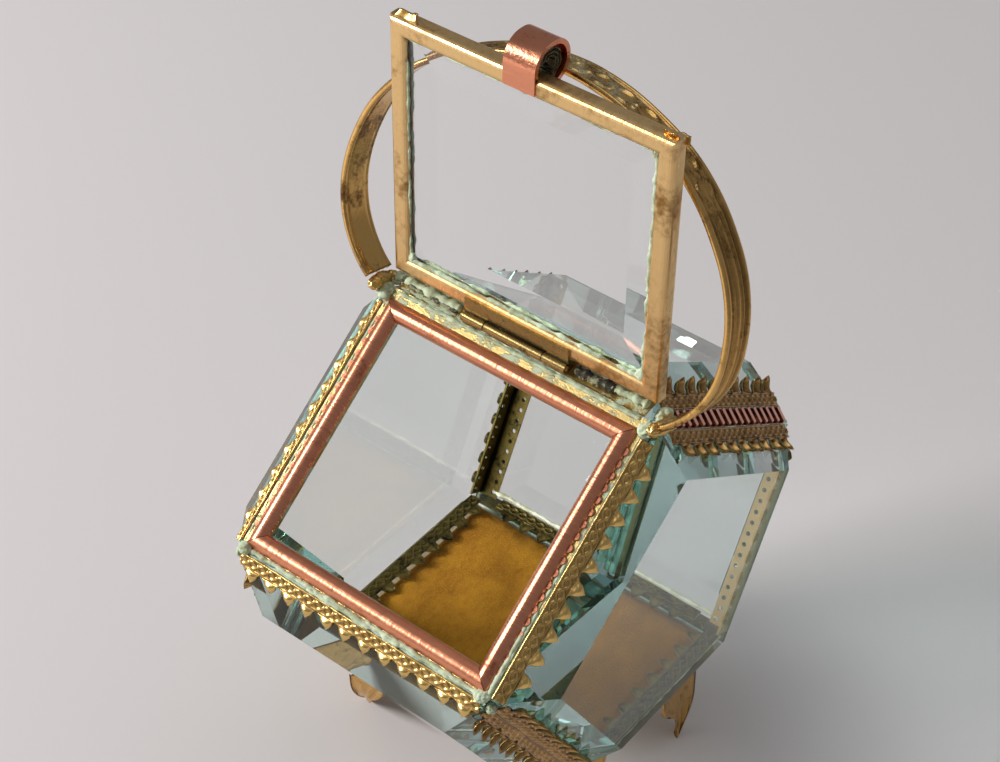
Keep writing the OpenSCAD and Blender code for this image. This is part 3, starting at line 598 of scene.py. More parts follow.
def crust_lump(size, seed, roughness=0.35):
    """A lump of crust of the given half sizes about the origin."""
    mesh = bmesh.new()
    bmesh.ops.create_icosphere(mesh, subdivisions=4, radius=1.0)
    drift = Vector((seed * 2.3, seed * 4.1, seed * 0.7))
    for vertex in mesh.verts:
        spot = vertex.co.copy()
        reach = 1.0 + roughness * (noise.noise(spot * 1.7 + drift) + 0.5 * noise.noise(spot * 4.3 + drift))
        vertex.co = Vector((spot.x * size[0], spot.y * size[1], spot.z * size[2])) * min(reach, 1.12)
    return closed_data("lump", mesh)


# Stamped gallery strips

LEAF_STEPS = 14
LEAF_ACROSS = 12


def leaf_half(y, blunt):
    if y < NOTCH_R:
        return TOOTH_PITCH / 2 - math.sqrt(max(NOTCH_R ** 2 - (NOTCH_R - y) ** 2, 0.0))
    return (TOOTH_PITCH / 2 - NOTCH_R) * (1 - ((y - NOTCH_R) / (TOOTH_L - NOTCH_R)) ** blunt)


def leaf_mesh(name, body, hollow, rim, curl, length=TOOTH_L, blunt=1.4):
    """One stamped leaf: raised or hollow, with a thin rim, bending at the tip."""
    def points(i, j):
        t, u = i / LEAF_STEPS, 2.0 * j / LEAF_ACROSS - 1.0
        x, y = u * max(leaf_half(TOOTH_L * t, blunt), 0.02), length * t - 0.08
        edge = max(smooth(0.6, 0.92, abs(u)), smooth(0.8, 0.97, t))
        pillow = body * (1 - abs(u) ** 1.7) * smooth(0.0, 0.3, t) * (1 - smooth(0.45, 1.0, t))
        sunk = hollow * (1 - edge) * smooth(0.05, 0.3, t)
        z = STRIP_T + 0.1 + pillow - sunk + rim * edge + curl * t * t
        return (x, y, z), (x, y, max(z - 0.26, 0.06))

    return grid_sheet(name, LEAF_STEPS, LEAF_ACROSS, points)


def band_mesh(run, seed):
    """The band that carries the leaves: two strands that cross between thin borders."""
    phase = random.Random(seed).uniform(0, 6)
    steps, across = int(run / 0.17), 20

    def points(i, j):
        x, v = -run / 2 + run * i / steps, j / across
        dent = 0.06 * math.sin(x * 0.55 + phase) + 0.05 * noise.noise(Vector((x * 0.6, seed, 0.0)))
        wave = 0.27 * math.cos(2 * math.pi * x / TOOTH_PITCH)
        border = bump_at(v, 0.06, 0.055) + bump_at(v, 0.94, 0.06)
        strands = max(bump_at(v, 0.5 + wave, 0.105), bump_at(v, 0.5 - wave, 0.105))
        z = 0.3 + 0.2 * border + 0.27 * strands * smooth(0.08, 0.2, v) * smooth(0.92, 0.8, v) + dent
        return (x, BAND_W * v, z), (x, BAND_W * v, 0.06 + max(dent, 0.0) * 0.5)

    return grid_sheet("band", steps, across, points)


def leaf_row_tree():
    """Geometry Nodes: leaves in a row, each a little askew."""
    tree, given, result = new_group(
        "leaf_row", [("Geometry", "Geometry"), ("Count", "Int"), ("Pitch", "Float"), ("Askew", "Float"),
                     ("Seed", "Int"), ("Finish", "Material")], [("Geometry", "Geometry")], "GeometryNodeTree")
    step = fed(tree, "ShaderNodeCombineXYZ", {"X": given["Pitch"]})
    run = sum_up(tree, "MULTIPLY", sum_up(tree, "SUBTRACT", given["Count"], 1.0), given["Pitch"])
    start = fed(tree, "ShaderNodeCombineXYZ", {"X": sum_up(tree, "MULTIPLY", run, -0.5)})
    line = fed(tree, "GeometryNodeMeshLine", {"Count": given["Count"], "Start Location": start,
                                              "Offset": step})
    most = fed(tree, "ShaderNodeCombineXYZ", {"X": given["Askew"], "Z": given["Askew"]})
    least = fed(tree, "ShaderNodeVectorMath", {0: most, "Scale": -1.0}, operation="SCALE")
    turn = fed(tree, "FunctionNodeRandomValue", {0: least, 1: most, "Seed": given["Seed"]},
               data_type="FLOAT_VECTOR")
    copies = fed(tree, "GeometryNodeInstanceOnPoints", {"Points": line, "Instance": given["Geometry"],
                                                        "Rotation": turn})
    real = fed(tree, "GeometryNodeRealizeInstances", {0: copies})
    finished = fed(tree, "GeometryNodeSetMaterial", {"Geometry": real, "Material": given["Finish"]})
    tree.links.new(finished, result["Geometry"])
    return tree


LEAF_ROW = leaf_row_tree()
LEAF = leaf_mesh("leaf", 0.55, 0.0, 0.05, -0.12)
FINGER_LEAF = leaf_mesh("finger_leaf", 0.0, 0.5, 0.3, 1.2, length=2.5, blunt=4.5)
FLAT_LEAF = leaf_mesh("flat_leaf", 0.25, 0.12, 0.12, 0.1)


def grown(tree, seed_mesh, values):
    """Runs a geometry tree on a mesh and gives back the plain mesh."""
    holder = linked("holder", seed_mesh.copy())
    modifier = holder.modifiers.new("grow", "NODES")
    modifier.node_group = tree
    for item in tree.interface.items_tree:
        if item.in_out == "INPUT" and item.name in values:
            modifier[item.identifier] = values[item.name]
    mesh = after_modifiers(holder)
    holder.modifiers.clear()
    bpy.data.objects.remove(holder)
    return one_finish(mesh)


def strip_parts(run, seed, material, leaf=LEAF):
    """A toothed strip centred on x = 0, its band starting at y = 0."""
    leaves = grown(LEAF_ROW, leaf, {"Count": math.floor((run - 1) / TOOTH_PITCH), "Pitch": TOOTH_PITCH,
                                    "Askew": 0.09, "Seed": seed, "Finish": material})
    return [(band_mesh(run, seed), IDENTITY), (leaves, Matrix.Translation((0.0, BAND_W, 0.0)))]


def gallery(name, node, parts, matrix, material, slot, mirror=False, under=PUTTY):
    """A gallery strip in place of the frame's node; its lower faces carry the material under it."""
    mesh = placed(joined(name, parts), matrix, mirror)
    finishes = [face.material_index for face in mesh.polygons]
    piece = new_piece(name, mesh, material, CASKET, slot)
    mesh.materials.append(under)
    mesh.polygons.foreach_set("material_index", finishes)
    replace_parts(piece, node)


def both_ways(run, seed, finish, middle, apart=IDENTITY):
    """Two strips of fingers with their backs to each other."""
    return (shifted(strip_parts(run, seed, finish, FINGER_LEAF), middle @ apart)
            + shifted(strip_parts(run, seed + 1, finish, FINGER_LEAF), middle @ MIRROR_Y @ apart))


# Floor strips, top and underside, wear the inner brass, whose dark colour is partly patina and partly painted
# shade
def floor_strip(name, run, seed, x_axis, y_axis, origin):
    gallery("floor_leaves_" + name, "floor_gallery_" + name, strip_parts(run, seed, INNER_BRASS_PATINA_AND_SHADE, FLAT_LEAF),
            frame_matrix(x_axis, y_axis, (0, 0, 1), origin), INNER_BRASS_PATINA_AND_SHADE, "old_brass", under=INNER_BRASS_PATINA_AND_SHADE)


def make_galleries():
    wall_run = 2 * (END_X - 1.4)
    over = Matrix.Translation((0.0, -BAND_OVER, 0.0))
    for name, seed, finish, matrix in (("front", 1, BRASS, wall_bevel_frame(F, B1)),
                                       ("back", 2, ROOF_BRASS, wall_bevel_frame(K, B2))):
        gallery("leaf_strip_" + name, "gallery_" + name, shifted(strip_parts(wall_run, seed, finish), over),
                matrix, finish, "brass")
    slope_start, slope_stop = 3.1, 1.2
    slope_run = SLOPE_L - slope_start - slope_stop
    middle = Matrix.Translation((slope_start + slope_run / 2, -BAND_OVER, 0.0))
    corner_run = (B1 - F).length - 2 * CORNER_GAP
    corner = Matrix.Translation((CORNER_GAP + corner_run / 2, -FOLD_HALF, 0.0))
    roof_start, roof_stop, braid_side = 2.6, 4.2, 1.65
    roof_run = SLOPE_L - roof_start - roof_stop
    roof = Matrix.Translation((roof_start + roof_run / 2, -FOLD_HALF, 0.0))
    apart = Matrix.Translation((0.0, braid_side, 0.0))
    floor_x, floor_y, floor_z = 25.05, 19.46, 28.35
    floor_run_x, floor_run_y = 39.0, 33.4
    for side, mirror, seed in (("right", False, 10), ("left", True, 40)):
        gallery("leaf_strip_slope_" + side, "gallery_slope_" + side,
                shifted(strip_parts(slope_run, seed, BRASS), middle), bevel_frame(R, F),
                BRASS, "brass", mirror)
        for edge, p, q, finish, slot in (("front", F, B1, ROOF_BRASS, "brass"),
                                         ("back", B2, K, DARK_BRASS, "old_brass")):
            gallery(f"leaf_strip_corner_{edge}_{side}", f"gallery_corner_{edge}_{side}",
                    both_ways(corner_run, seed + 1, finish, corner), bevel_frame(p, q), finish, slot, mirror)
        gallery("leaf_strip_roof_" + side, "gallery_roof_" + side,
                both_ways(roof_run, seed + 5, ROOF_BRASS, roof, apart), bevel_frame(K, R),
                ROOF_BRASS, "brass", mirror)
        to_middle = -1.0 if side == "right" else 1.0
        floor_strip(side, floor_run_y, seed + 7, (0, -to_middle, 0), (to_middle, 0, 0),
                    (-floor_x * to_middle, 0, floor_z))
    for name, to_middle, seed in (("front", 1.0, 61), ("back", -1.0, 59)):
        floor_strip(name, floor_run_x, seed, (to_middle, 0, 0), (0, to_middle, 0),
                    (0, -floor_y * to_middle, floor_z))


make_galleries()


# Pierced angles inside the standing corners

ANGLE_W = 3.7
ANGLE_START = 1.4
ANGLE_STOP = 3.0
PIERCE_PITCH = 2.1
PIERCE_R = 0.42


def pierced_cell():
    """One length of pierced strip: a plate round a hole, open where it meets the next length."""
    mesh = bmesh.new()
    half, hole_y, steps = PIERCE_PITCH / 2, ANGLE_W - 1.0, 24
    rings = {}
    for z in (0.0, STRIP_T):
        outer, inner = [], []
        for k in range(steps):
            angle = 2 * math.pi * (k + 0.5) / steps
            way = (math.cos(angle), math.sin(angle))
            reach = min(half / abs(way[0]), (ANGLE_W - hole_y if way[1] > 0 else hole_y) / abs(way[1]))
            outer.append(mesh.verts.new((way[0] * reach, hole_y + way[1] * reach, z)))
            inner.append(mesh.verts.new((way[0] * PIERCE_R, hole_y + way[1] * PIERCE_R, z)))
        for x in (-half, half):
            for y in (0.0, ANGLE_W):
                corner = mesh.verts.new((x, y, z))
                near = sorted(range(steps), key=lambda k: (outer[k].co - corner.co).length)[:2]
                mesh.faces.new((outer[near[0]], outer[near[1]], corner))
        for k in range(steps):
            j = (k + 1) % steps
            mesh.faces.new((outer[k], outer[j], inner[j], inner[k]))
        rings[z] = inner
    low, high = rings[0.0], rings[STRIP_T]
    for k in range(steps):
        j = (k + 1) % steps
        mesh.faces.new((low[k], low[j], high[j], high[k]))
    for y in (0.0, ANGLE_W):
        edge = ((-half, y, 0), (half, y, 0), (half, y, STRIP_T), (-half, y, STRIP_T))
        mesh.faces.new([mesh.verts.new(point) for point in edge])
    return closed_data("pierced", mesh)


def make_angles():
    cell = pierced_cell()
    near = EDGE_T / 2 + 0.15
    to_left = Vector((-1, 0, 0))
    for edge, p, q in (("front", F, B1), ("back", K, B2)):
        along = (q - p).normalized()
        inward = Vector((0.0, -along.z, along.y)) * (1 if edge == "front" else -1)
        run = (q - p).length - ANGLE_START - ANGLE_STOP
        middle = p + along * (ANGLE_START + run / 2) + Vector((END_X - near, 0, 0)) + inward * near
        for side, mirror in (("right", False), ("left", True)):
            name = f"{edge}_{side}"
            # All angles but the back right one get the inner brass, dark with patina and with painted shade;
            # the back right one keeps gold brass
            finish = ANGLE_BRASS if name == "back_right" else INNER_BRASS_PATINA_AND_SHADE
            row = grown(LEAF_ROW, cell, {"Count": int(run / PIERCE_PITCH), "Pitch": PIERCE_PITCH,
                                         "Askew": 0.0, "Seed": 0, "Finish": finish})
            legs = []
            for leg, lift in ((inward, to_left), (to_left, inward)):
                matrix = frame_matrix(along, leg, along.cross(leg), middle)
                if along.cross(leg).dot(lift) < 0:
                    matrix.translation += lift * STRIP_T
                legs.append((row, matrix))
            piece = new_piece("pierced_angle_" + name, placed(joined("angle", legs), mirror=mirror),
                              finish, CASKET, "old_brass", flat=True)
            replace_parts(piece, "inner_angle_" + name)


make_angles()


# Putty and crust

def piece_of(name, parts, material, body, slot):
    return new_piece(name, placed(joined(name, parts)), material, body, slot)


def seam_prism(p, q, corners, start, stop, seed):
    """Putty between the right end pane and its neighbour: corners give inward and outward places."""
    along = (q - p).normalized()
    inward = Vector((0.0, -along.z, along.y))
    run = (q - p).length - start - stop
    count = int(run / 1.5)
    loops = []
    for i in range(count + 1):
        place = p + along * (start + run * i / count)
        loop = []
        for (a0, c0), (a1, c1) in zip(corners, corners[1:] + corners[:1]):
            for share in (0.0, 0.5):
                a, c = a0 + (a1 - a0) * share, c0 + (c1 - c0) * share
                dent = 0.04 * noise.noise(Vector((i * 0.7, a * 3 + seed, c * 3)))
                loop.append(place + inward * (a - abs(dent)) + Vector((END_X + c - dent, 0, 0)))
        loops.append(loop)
    return loft_mesh("seam", loops)


def bead_part(points, radius, seed, **extra):
    return crust_bead(points, radius, seed, **extra), IDENTITY


def lump_part(size, seed, at, roughness=0.35, frame_of=IDENTITY):
    return crust_lump(size, seed, roughness), frame_of @ Matrix.Translation(at)


def line_x(y, z, half):
    return [(-half, y, z), (half, y, z)]


SEAM_HALF = 24.2


def make_seams():
    wall_seam = [(0.90, 0.58), (-0.58, -0.90), (0.90, -0.90)]
    ledge_seam = [(0.90, 0.58), (0.0, -0.32), (0.90, -0.32)]
    foot_seam = [(0.90, 0.36), (0.08, 0.36), (0.08, -0.90), (0.90, -0.90)]
    parts = []
    for p, q, section, start, stop in ((F, B1, wall_seam, 1.5, 1.5), (B1, B2, foot_seam, 1.4, 1.4),
                                       (B2, K, wall_seam, 1.5, 1.5), (K, R, wall_seam, 1.5, 1.8),
                                       (R, F, ledge_seam, 1.5, 1.5)):
        for mirror in (IDENTITY, MIRROR_X):
            parts.append((seam_prism(p, q, section, start, stop, len(parts)), mirror))
    for y, z, radius in ((K.y - 0.25, K.z - 0.02, 0.55), (F.y + 0.3, F.z + 0.02, 0.28),
                         (-18.95, FOOT_H + 0.45, 0.3), (18.95, FOOT_H + 0.45, 0.3),
                         (0.62, FOOT_H + RIDGE_H - 0.42, 0.16)):
        parts.append(bead_part(line_x(y, z, SEAM_HALF), radius, y, step=0.6))
    piece_of("pane_putty", parts, PUTTY, CASKET, "solder")


def on_slope(x, s, up):
    return SLOPE_FRAME @ Vector((x, s, up))


def make_crust():
    """Bloom along the opening's ledge, round the hinge on the ridge, at the corners and on the floor."""
    mint, dark, cream = [], [], []
    end = SLOPE_L - 1.0
    for first, last, radius, seed, flat, patchy in (
            ((-25.3, 24.0, 0.02), (-25.3, end, 0.08), 0.24, 5, 0.7, 0.15),
            ((-25.0, SLOPE_L - 13, 0.15), (-25.2, end, 0.2), 0.36, 6, 0.7, 0.0),
            ((25.3, 3.2, 0.02), (25.3, end, 0.02), 0.2, 7, 0.7, 0.4),
            ((-25.2, SLOPE_L - 0.85, 0.08), (25.2, SLOPE_L - 0.85, 0.08), 0.42, 8, 0.75, 0.0),
            ((-20, SLOPE_L - 0.5, 0.22), (11, SLOPE_L - 0.5, 0.22), 0.5, 9, 0.7, 0.3)):
        mint.append(bead_part([on_slope(*first), on_slope(*last)], radius, seed, flat=flat, patchy=patchy))
    for x in (-24.4, 24.4):
        mint.append(lump_part((1.25, 1.3, 0.75), x, on_slope(x, SLOPE_L - 0.9, 0.25)))
    for heap, points, radius, seed, flat, patchy in (
            (mint, line_x(-0.55, 89.75, SEAM_HALF), 0.42, 21, 0.7, 0.0),
            (mint, [(-24.2, 1.6, 90.9), (-12.2, 1.2, 91.0)], 0.85, 23, 0.75, 0.0),
            (mint, [(-24.0, 2.9, 90.2), (-11.6, 2.6, 90.4)], 0.7, 24, 0.8, 0.0),
            (mint, [(-11.0, 2.6, 91.1), (9.8, 2.7, 91.1)], 0.42, 26, 0.7, 0.2),
            (mint, [(17.0, 1.4, 91.0), (24.2, 1.8, 90.9)], 0.8, 27, 0.75, 0.0),
            (dark, [(10.4, 1.1, 91.0), (19.0, 1.5, 91.0)], 0.85, 28, 0.8, 0.0),
            (dark, [(-23.0, 0.55, 90.9), (-12.4, 0.5, 90.9)], 0.4, 29, 0.8, 0.25)):
        heap.append(bead_part(points, radius, seed, flat=flat, patchy=patchy))
    from_corner = 1.7
    front_corner = F + (B1 - F).normalized() * from_corner
    back_corner = B2 + (K - B2).normalized() * ((K - B2).length - from_corner)
    for side in (-1, 1):
        mint.append(lump_part((1.5, 1.9, 0.9), 31 + side, (26.1 * side, -1.0, 89.2), 0.6))
        mint.append(lump_part((1.2, 1.6, 0.8), 35 + side, (26.3 * side, 2.6, 89.5), 0.6))
        for seed, corner in ((42, front_corner), (43, back_corner)):
            mint.append(lump_part((0.8, 0.8, 0.9), seed + side, corner + Vector((25.9 * side, 0, 0)), 0.6))
    for y in (-20.2, 20.2):
        cream.append(bead_part(line_x(y, 28.55, 22.5), 0.42, y, flat=0.8))
    for x in (-24.9, 24.9):
        cream.append(bead_part([(x, -17.5, 28.1), (x, 17.5, 28.1)], 0.26, x, flat=0.8))
    piece_of("mint_crust", mint, CRUST, CASKET, "solder")
    piece_of("dark_crust", dark, DARK_CRUST, CASKET, "solder")
    piece_of("floor_putty", cream, CREAM, CASKET, "solder")


def on_lid(x, u, v):
    return LID_FRAME @ Vector((x, u, v))


def make_lid_crust():
    """Bloomed solder where the pane meets the rails, thickest at the hinge and down the right side."""
    inner = END_X - RAIL_W
    low, high = RAIL_U0 + RAIL_W, LID_L - RAIL_W
    parts = []
    for v, seed in ((GLASS_V - 0.1, 50), (GLASS_V + EDGE_T + 0.1, 60)):
        sides = (((inner, low), (inner, high), 0.26, 0.3), ((-inner, low), (-inner, high), 0.42, 0.1),
                 ((-inner, low), (inner, low), 0.45, 0.12), ((-inner, high), (inner, high), 0.22, 0.35))
        for index, (first, last, radius, patchy) in enumerate(sides):
            ends = [on_lid(*first, v), on_lid(*last, v)]
            parts.append(bead_part(ends, radius, seed + index, patchy=patchy))
    for x, u, size in ((inner - 0.3, low + 0.4, 0.9), (-inner + 0.3, low + 0.4, 1.0),
                       (-inner + 0.2, high - 0.2, 0.8)):
        parts.append(lump_part((size, size * 1.3, 0.6), x, (x, u, GLASS_V), frame_of=LID_FRAME))
    piece_of("lid_crust", parts, CRUST, LID, "solder")


make_seams()
make_crust()
make_lid_crust()


# Lid pane: bevelled thinly round its raised face

def make_lid_pane():
    bevel_in, bevel_w, bevel_rise = 1.7, 4.5, 0.55
    loops = []
    for inset, v in ((0.0, 0.0), (0.0, EDGE_T), (bevel_in, EDGE_T + 0.02),
                     (bevel_in + bevel_w, EDGE_T + bevel_rise)):
        x, low, high = PANE_X - inset, PANE_U0 + inset, PANE_U1 - inset
        loops.append([on_lid(a, b, GLASS_V + v) for a, b in ((-x, low), (x, low), (x, high), (-x, high))])
    mesh = placed(loft_mesh("lid_pane", loops))
    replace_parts(new_piece("lid_pane", mesh, GLASS, LID, "glass", flat=True), "lid_glass")


make_lid_pane()


# Hoop handle: an embossed strap

def hoop_line():
    """Points of the strap's middle line and its outward directions, from the right end to the left."""
    lower_a = 2 * math.atan2(HOOP_HALF_W - HOOP_END[0], HOOP_WIDE_H - HOOP_END[1])
    lower_r = (HOOP_WIDE_H - HOOP_END[1]) / math.sin(lower_a)
    half = []
    for i in range(40):
        a = lower_a * (i / 40 - 1)
        out = Vector((math.cos(a), math.sin(a), 0))
        half.append((Vector((HOOP_HALF_W - lower_r, HOOP_WIDE_H, 0)) + out * lower_r, out))
    for i in range(111):
        a = math.pi / 2 * i / 110
        out = Vector((math.cos(a) / HOOP_HALF_W, math.sin(a) / HOOP_RISE, 0)).normalized()
        half.append((Vector((HOOP_HALF_W * math.cos(a), HOOP_WIDE_H + HOOP_RISE * math.sin(a), 0)), out))
    flip = Vector((-1, 1, 1))
    return half + [(point * flip, out * flip) for point, out in reversed(half[:-1])]


def strap_relief(w, run, crown):
    """Height of the stamped face: two borders, ribs on the arms, crossing leaves over the crown."""
    side = abs(w)
    border = 0.42 * smooth(2.05, 2.35, side) * (1 - 0.5 * smooth(2.8, 3.0, side))
    ribs = 0.42 * bump_at(side, 0.0, 0.42) + 0.30 * bump_at(side, 1.3, 0.22)
    wave = 1.55 * math.sin(2 * math.pi * run / 9.0)
    leaf = max(bump_at(w, wave, 0.3), bump_at(w, -wave, 0.3))
    vein = bump_at(w, 0.0, 0.2) * (0.5 + 0.5 * math.cos(4 * math.pi * run / 9.0))
    beads = 0.5 + 0.5 * math.sin(2 * math.pi * run / 0.9)
    ornament = 0.42 * leaf + 0.25 * vein + 0.12 * beads * bump_at(side, 1.9, 0.16)
    return border + ribs * (1 - crown) + ornament * crown


def make_hoop():
    line = hoop_line()
    across = 32
    runs = [0.0]
    for (point, _), (following, _) in zip(line, line[1:]):
        runs.append(runs[-1] + (following - point).length)

    def points(i, j):
        point, out = line[i]
        w = STRAP_W * (j / across - 0.5)
        relief = strap_relief(w, runs[i], smooth(33.0, 40.0, point.y))
        dent = 0.12 * noise.noise(Vector((runs[i] * 0.16, 2.2, 0.4)))
        round_off = 0.15 * smooth(2.75, 3.0, abs(w))
        middle = point + out * dent + Vector((0, 0, w))
        return (middle + out * (STRAP_T / 2 - 0.18 + relief - round_off),
                middle - out * (STRAP_T / 2 - round_off - 0.12 * bump_at(abs(w), 2.3, 0.3)))

    mesh = one_finish(placed(grid_sheet("strap", len(line) - 1, across, points), HOOP_FRAME))
    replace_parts(new_piece("embossed_hoop", mesh, HOOP_BRASS, CASKET, "brass"), "handle_hoop")
    lumps = (((1.25, 1.2, 3.1), 70, 28.1, 0.0, 0.15), ((1.1, 1.1, 1.4), 73, 27.7, 2.0, 0.2),
             ((1.1, 1.1, 1.4), 76, 27.7, -2.0, 0.2))
    for side, name in ((1, "knot_right"), (-1, "knot_left")):
        parts = [lump_part(size, seed + side, (x * side, 0, z), rough, HOOP_FRAME)
                 for size, seed, x, z, rough in lumps]
        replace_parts(piece_of("solder_" + name, parts, KNOT_SOLDER, CASKET, "solder"), "handle_" + name)


make_hoop()


# Copper roll of the clasp: what shows in its open end, and torn tabs at the lid's corners

def make_roll_inside():
    """Three turns of sheet about the roll's middle, each drawing in along its way."""
    middle_u, middle_v, left, right, sheet = 49.3, 4.5, -1.35, 3.75, 0.32
    parts = []
    for radius, first, last in ((2.72, -78, 172), (2.1, -70, 168), (1.5, -55, 160)):
        loops = []
        for i in range(41):
            angle = math.radians(first + (last - first) * i / 40)
            reach = radius - 0.25 * i / 40
            loop = []
            for x, r in ((left, 0.0), (right, 0.0), (right, -sheet), (left, -sheet)):
                loop.append((x + 0.1 * math.sin(i * 0.7 + radius), middle_u + (reach + r) * math.cos(angle),
                             middle_v + (reach + r) * math.sin(angle)))
            loops.append(loop)
        parts.append((loft_mesh("turn", loops), LID_FRAME))
    # The turns wear the roll's inside finish: verdigris and painted shade of the hollow end
    piece_of("roll_turns", parts, COPPER_INSIDE_VERDIGRIS_AND_SHADE, LID, "copper")


def scrap_mesh(width, height, seed, lean):
    """A torn, bent tab of sheet brass standing on y = 0."""
    half_sheet = Vector((0, 0, 0.14))
    steps, rises = 12, 8

    def points(i, j):
        u, v = i / steps, j / rises
        ragged = 1.0 + 0.25 * noise.noise(Vector((u * 3.1, seed, 0.0)))
        bend = lean * v * v + 0.25 * noise.noise(Vector((u * 2.2, v * 2.2, seed)))
        point = Vector(((u - 0.5) * width * (1 - 0.35 * v), height * v * ragged, bend))
        return point + half_sheet, point - half_sheet

    return one_finish(grid_sheet("scrap", steps, rises, points))


def make_tabs():
    tabs = (((5.2, 1.5, 1.3, 0.7), (23.0, LID_L - 0.5, 1.3)),
            ((3.0, 1.3, 4.1, -0.5), (-24.4, LID_L - 0.5, 2.0)),
            ((2.6, 1.2, 6.2, 0.5), (-25.3, LID_L - 1.6, 3.4)))
    parts = [(scrap_mesh(*form), LID_FRAME @ Matrix.Translation(at)) for form, at in tabs]
    piece_of("lid_tabs", parts, FOOT_BRASS, LID, "brass")


make_roll_inside()
make_tabs()


# Feet: folded leaves

FOOT_TOP = 23.0
FOOT_AT = (-25.2, -18.7, 0)
KNEE_H = 9.0
SOLE_IN = 4.2
SOLE_W = 1.2
WING_H = 14.0
WING_T = 0.6
WING_FRONT = 8.4
WING_SIDE = 10.5
VEIN_PITCH = 1.9


def leaf_wing(z, full):
    return SOLE_W + (full - SOLE_W) * math.sin(math.pi / 2 * min(z / WING_H, 1)) ** 1.3


def foot_mesh():
    """A leaf folded along the corner: veined wings that narrow to a sole turned under."""
    levels, steps = 46, 15
    loops = []
    for k in range(levels + 1):
        z = FOOT_TOP * k / levels
        fold = SOLE_IN * (1 - z / KNEE_H) ** 2.2 if z < KNEE_H else 0.0
        lobe = 0.45 * math.sin(z * 0.75) * smooth(2.0, 6.0, z) * smooth(FOOT_TOP, 15.0, z)
        outside, inside = [], []
        for full, is_x in ((WING_FRONT, True), (WING_SIDE, False)):
            reach = leaf_wing(z, full) + lobe
            rows = range(steps, 0, -1) if is_x else range(0, steps + 1)
            for i in rows:
                s = i / steps
                along_veins = ((s * reach - z * 0.42) % VEIN_PITCH) / VEIN_PITCH
                vein = 0.30 * bump_at(along_veins, 0.5, 0.2) * smooth(0.06, 0.2, s)
                rim = 0.30 * smooth(0.84, 0.95, s)
                cup = 0.38 * math.sin(math.pi * s) * smooth(0.0, 5.0, z)
                off = 0.32 - (rim + vein + 0.12 * bump_at(s, 0.0, 0.08) - cup)
                d = s * reach
                thin = WING_T * (1 - 0.35 * smooth(0.8, 1.0, s))
                if is_x:
                    outside.append((d, fold + off, z))
                    inside.append((max(d, WING_T), fold + off + thin, z))
                else:
                    outside.append((off, fold + d, z))
                    inside.append((off + thin, fold + max(d, WING_T), z))
        loops.append(outside + list(reversed(inside)))
    return loft_mesh("folded_leaf", loops)


def make_feet():
    leaf = foot_mesh()
    for name, x_side, y_side in (("front_right", 1, 1), ("front_left", -1, 1), ("back_right", 1, -1),
                                 ("back_left", -1, -1)):
        turn = Matrix.Diagonal((-x_side, y_side, 1, 1)) @ Matrix.Translation(FOOT_AT)
        foot = piece_of("leaf_foot_" + name, [(leaf, turn)], FOOT_BRASS, CASKET, "brass")
        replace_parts(foot, "foot_" + name)


make_feet()


# Velvet pad

PAD_X = 24.7
PAD_Y = 18.2
PAD_LOW = 24.9
PAD_TOP = 28.1
PAD_GIVE = 0.5
SWOLLEN = 20.0
LAST_FRAME = 20


def pad_start():
    """The pad's cover before it is filled: a low crowned pillow with puckers along its seam."""
    steps_x, steps_y = 110, 84

    def points(i, j):
        u, v = -math.cos(math.pi * i / steps_x), -math.cos(math.pi * j / steps_y)
        x = u * (PAD_X - 0.35 - 0.35 * (1 - v * v) * abs(u))
        y = v * (PAD_Y - 0.35 - 0.35 * (1 - u * u) * abs(v))
        dome = math.sqrt(max(1 - u ** 8, 0)) * math.sqrt(max(1 - v ** 8, 0))
        fold = 0.45 * noise.noise(Vector((x * 0.10, y * 0.15, 3.1)))
        pucker = 0.25 * noise.noise(Vector((x * 0.5, y * 0.5, 7.7))) * (1.15 - dome)
        return (x, y, PAD_LOW + 1.0 + (1.5 + fold + pucker) * dome), (x, y, PAD_LOW + 0.05)

    return grid_sheet("pad", steps_x, steps_y, points)


def filled(mesh):
    """Cloth simulation: the cover swells under pressure at twenty times its size, its base held."""
    start = mesh.copy()
    start.transform(Matrix.Scale(MM * SWOLLEN, 4))
    cover = linked("cover", start)
    remesh = cover.modifiers.new("remesh", "REMESH")
    remesh.mode = "VOXEL"
    remesh.voxel_size = 0.011
    even = after_modifiers(cover)
    cover.modifiers.clear()
    cover.data = even
    base_z = (PAD_LOW + 0.25) * MM * SWOLLEN
    held = cover.vertex_groups.new(name="base")
    held.add([v.index for v in even.vertices if v.co.z < base_z], 1.0, "REPLACE")
    cloth = cover.modifiers.new("cloth", "CLOTH")
    for label, value in (("quality", 6), ("mass", 0.3), ("tension_stiffness", 12),
                         ("compression_stiffness", 12), ("shear_stiffness", 4), ("bending_stiffness", 0.3),
                         ("use_pressure", True), ("uniform_pressure_force", 4.0),
                         ("vertex_group_mass", "base")):
        setattr(cloth.settings, label, value)
    cloth.settings.effector_weights.gravity = 0.0
    cloth.point_cache.frame_start = 1
    cloth.point_cache.frame_end = LAST_FRAME
    before = [v.co.copy() for v in even.vertices]
    for step in range(1, LAST_FRAME + 1):
        bpy.context.scene.frame_set(step)
    done = after_modifiers(cover)
    bpy.context.scene.frame_set(1)
    most = PAD_GIVE * MM * SWOLLEN
    for vertex, old in zip(done.vertices, before):
        move = vertex.co - old
        if move.length > most:
            vertex.co = old + move.normalized() * most
    cover.modifiers.clear()
    bpy.data.objects.remove(cover)
    done.transform(Matrix.Scale(1 / (MM * SWOLLEN), 4))
    return done


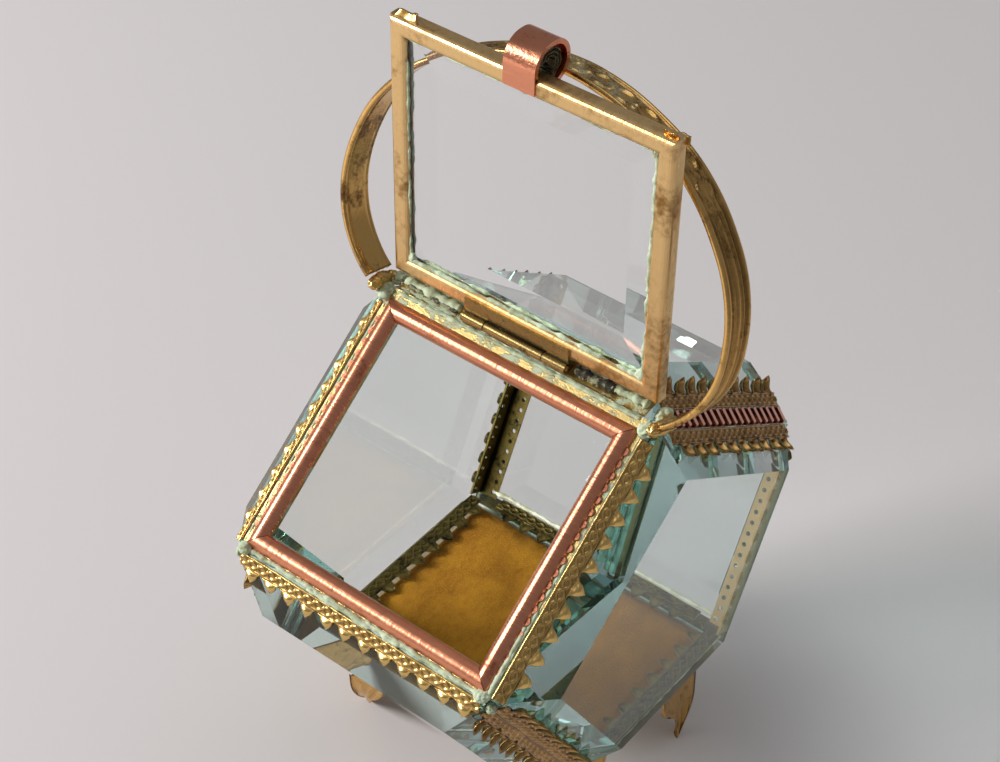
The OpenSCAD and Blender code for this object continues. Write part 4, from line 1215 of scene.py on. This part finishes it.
def make_pad():
    mesh = pad_start()
    mesh = filled(mesh)
    for vertex in mesh.vertices:
        spot = vertex.co
        vertex.co = Vector((min(max(spot.x, -PAD_X), PAD_X), min(max(spot.y, -PAD_Y), PAD_Y),
                            min(max(spot.z, PAD_LOW), PAD_TOP)))
    pad = new_piece("padded_velvet", placed(one_finish(mesh)), VELVET, CASKET, "velvet")
    finer = pad.modifiers.new("finer", "SUBSURF")
    finer.levels = finer.render_levels = 1
    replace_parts(pad, "velvet_pad")


make_pad()


# Materials on the frame's own nodes

SLOT_FINISH = {"brass": BRASS, "old_brass": OLD_BRASS, "copper": COPPER_CROSS, "solder": SOLDER,
               "glass": GLASS, "velvet": VELVET, "card": CARD}
NODE_FINISH = {"lid_frame": LID_BRASS, "clasp_roll": COPPER_ROLL, "copper_rail_left": COPPER_SIDE,
               "copper_rail_right": COPPER_SIDE, "copper_braid_left": COPPER_WIRE,
               "copper_braid_right": COPPER_WIRE}
SLOT_OF = {entry["node"]: entry["material_slot"] for entry in frame["record"]["subparts"]}
for name, piece in frame["nodes"].items():
    for holder in piece.material_slots:
        holder.material = NODE_FINISH.get(name, SLOT_FINISH[SLOT_OF[name]])


# Floor, lamps, world and camera

def make_floor():
    bpy.ops.mesh.primitive_plane_add(size=4.0)
    floor = bpy.context.object
    floor.name = "table"
    material, _, shader = new_material("pale_table")
    set_inputs(shader, {"Base Color": (0.70, 0.665, 0.662), "Roughness": 0.85})
    floor.data.materials.append(material)


def soft_lamp(name, at, aim, size, watts, tint):
    data = bpy.data.lights.new(name, "AREA")
    data.shape = "DISK"
    data.size = size
    data.energy = watts
    data.color = tint
    lamp = linked(name, data)
    lamp.location = at
    lamp.rotation_euler = (Vector(aim) - Vector(at)).to_track_quat("-Z", "Y").to_euler()


def make_world():
    world = bpy.data.worlds.new("studio")
    world.use_nodes = True
    bpy.context.scene.world = world
    set_inputs(world.node_tree.nodes["Background"], {"Color": (0.95, 0.96, 1.0), "Strength": 0.235})


def make_camera():
    data = bpy.data.cameras.new("camera")
    data.lens = LENS_MM
    data.sensor_width = SENSOR_MM
    data.sensor_fit = "HORIZONTAL"
    data.clip_start = 0.01
    camera = linked("camera", data)
    right = CAMERA_RIGHT.normalized()
    up = (CAMERA_UP - right * CAMERA_UP.dot(right)).normalized()
    camera.matrix_world = frame_matrix(right, up, right.cross(up), CAMERA_AT)
    bpy.context.scene.camera = camera


make_floor()
make_world()
soft_lamp("window", (-0.88, -0.70, 0.64), (0.0, 0.0, 0.04), 0.44, 17.0, (1.0, 0.985, 0.965))
soft_lamp("overhead", (0.05, 0.25, 0.9), (0.0, 0.0, 0.05), 0.6, 1.1, (0.97, 0.98, 1.0))
make_camera()

bpy.context.scene.view_settings.view_transform = "Standard"


def let_light_through():
    """The thick panes lead light along by many inner reflections before it comes out of an edge."""
    paths = bpy.context.scene.cycles
    paths.max_bounces = paths.glossy_bounces = paths.transmission_bounces = 24


let_light_through()
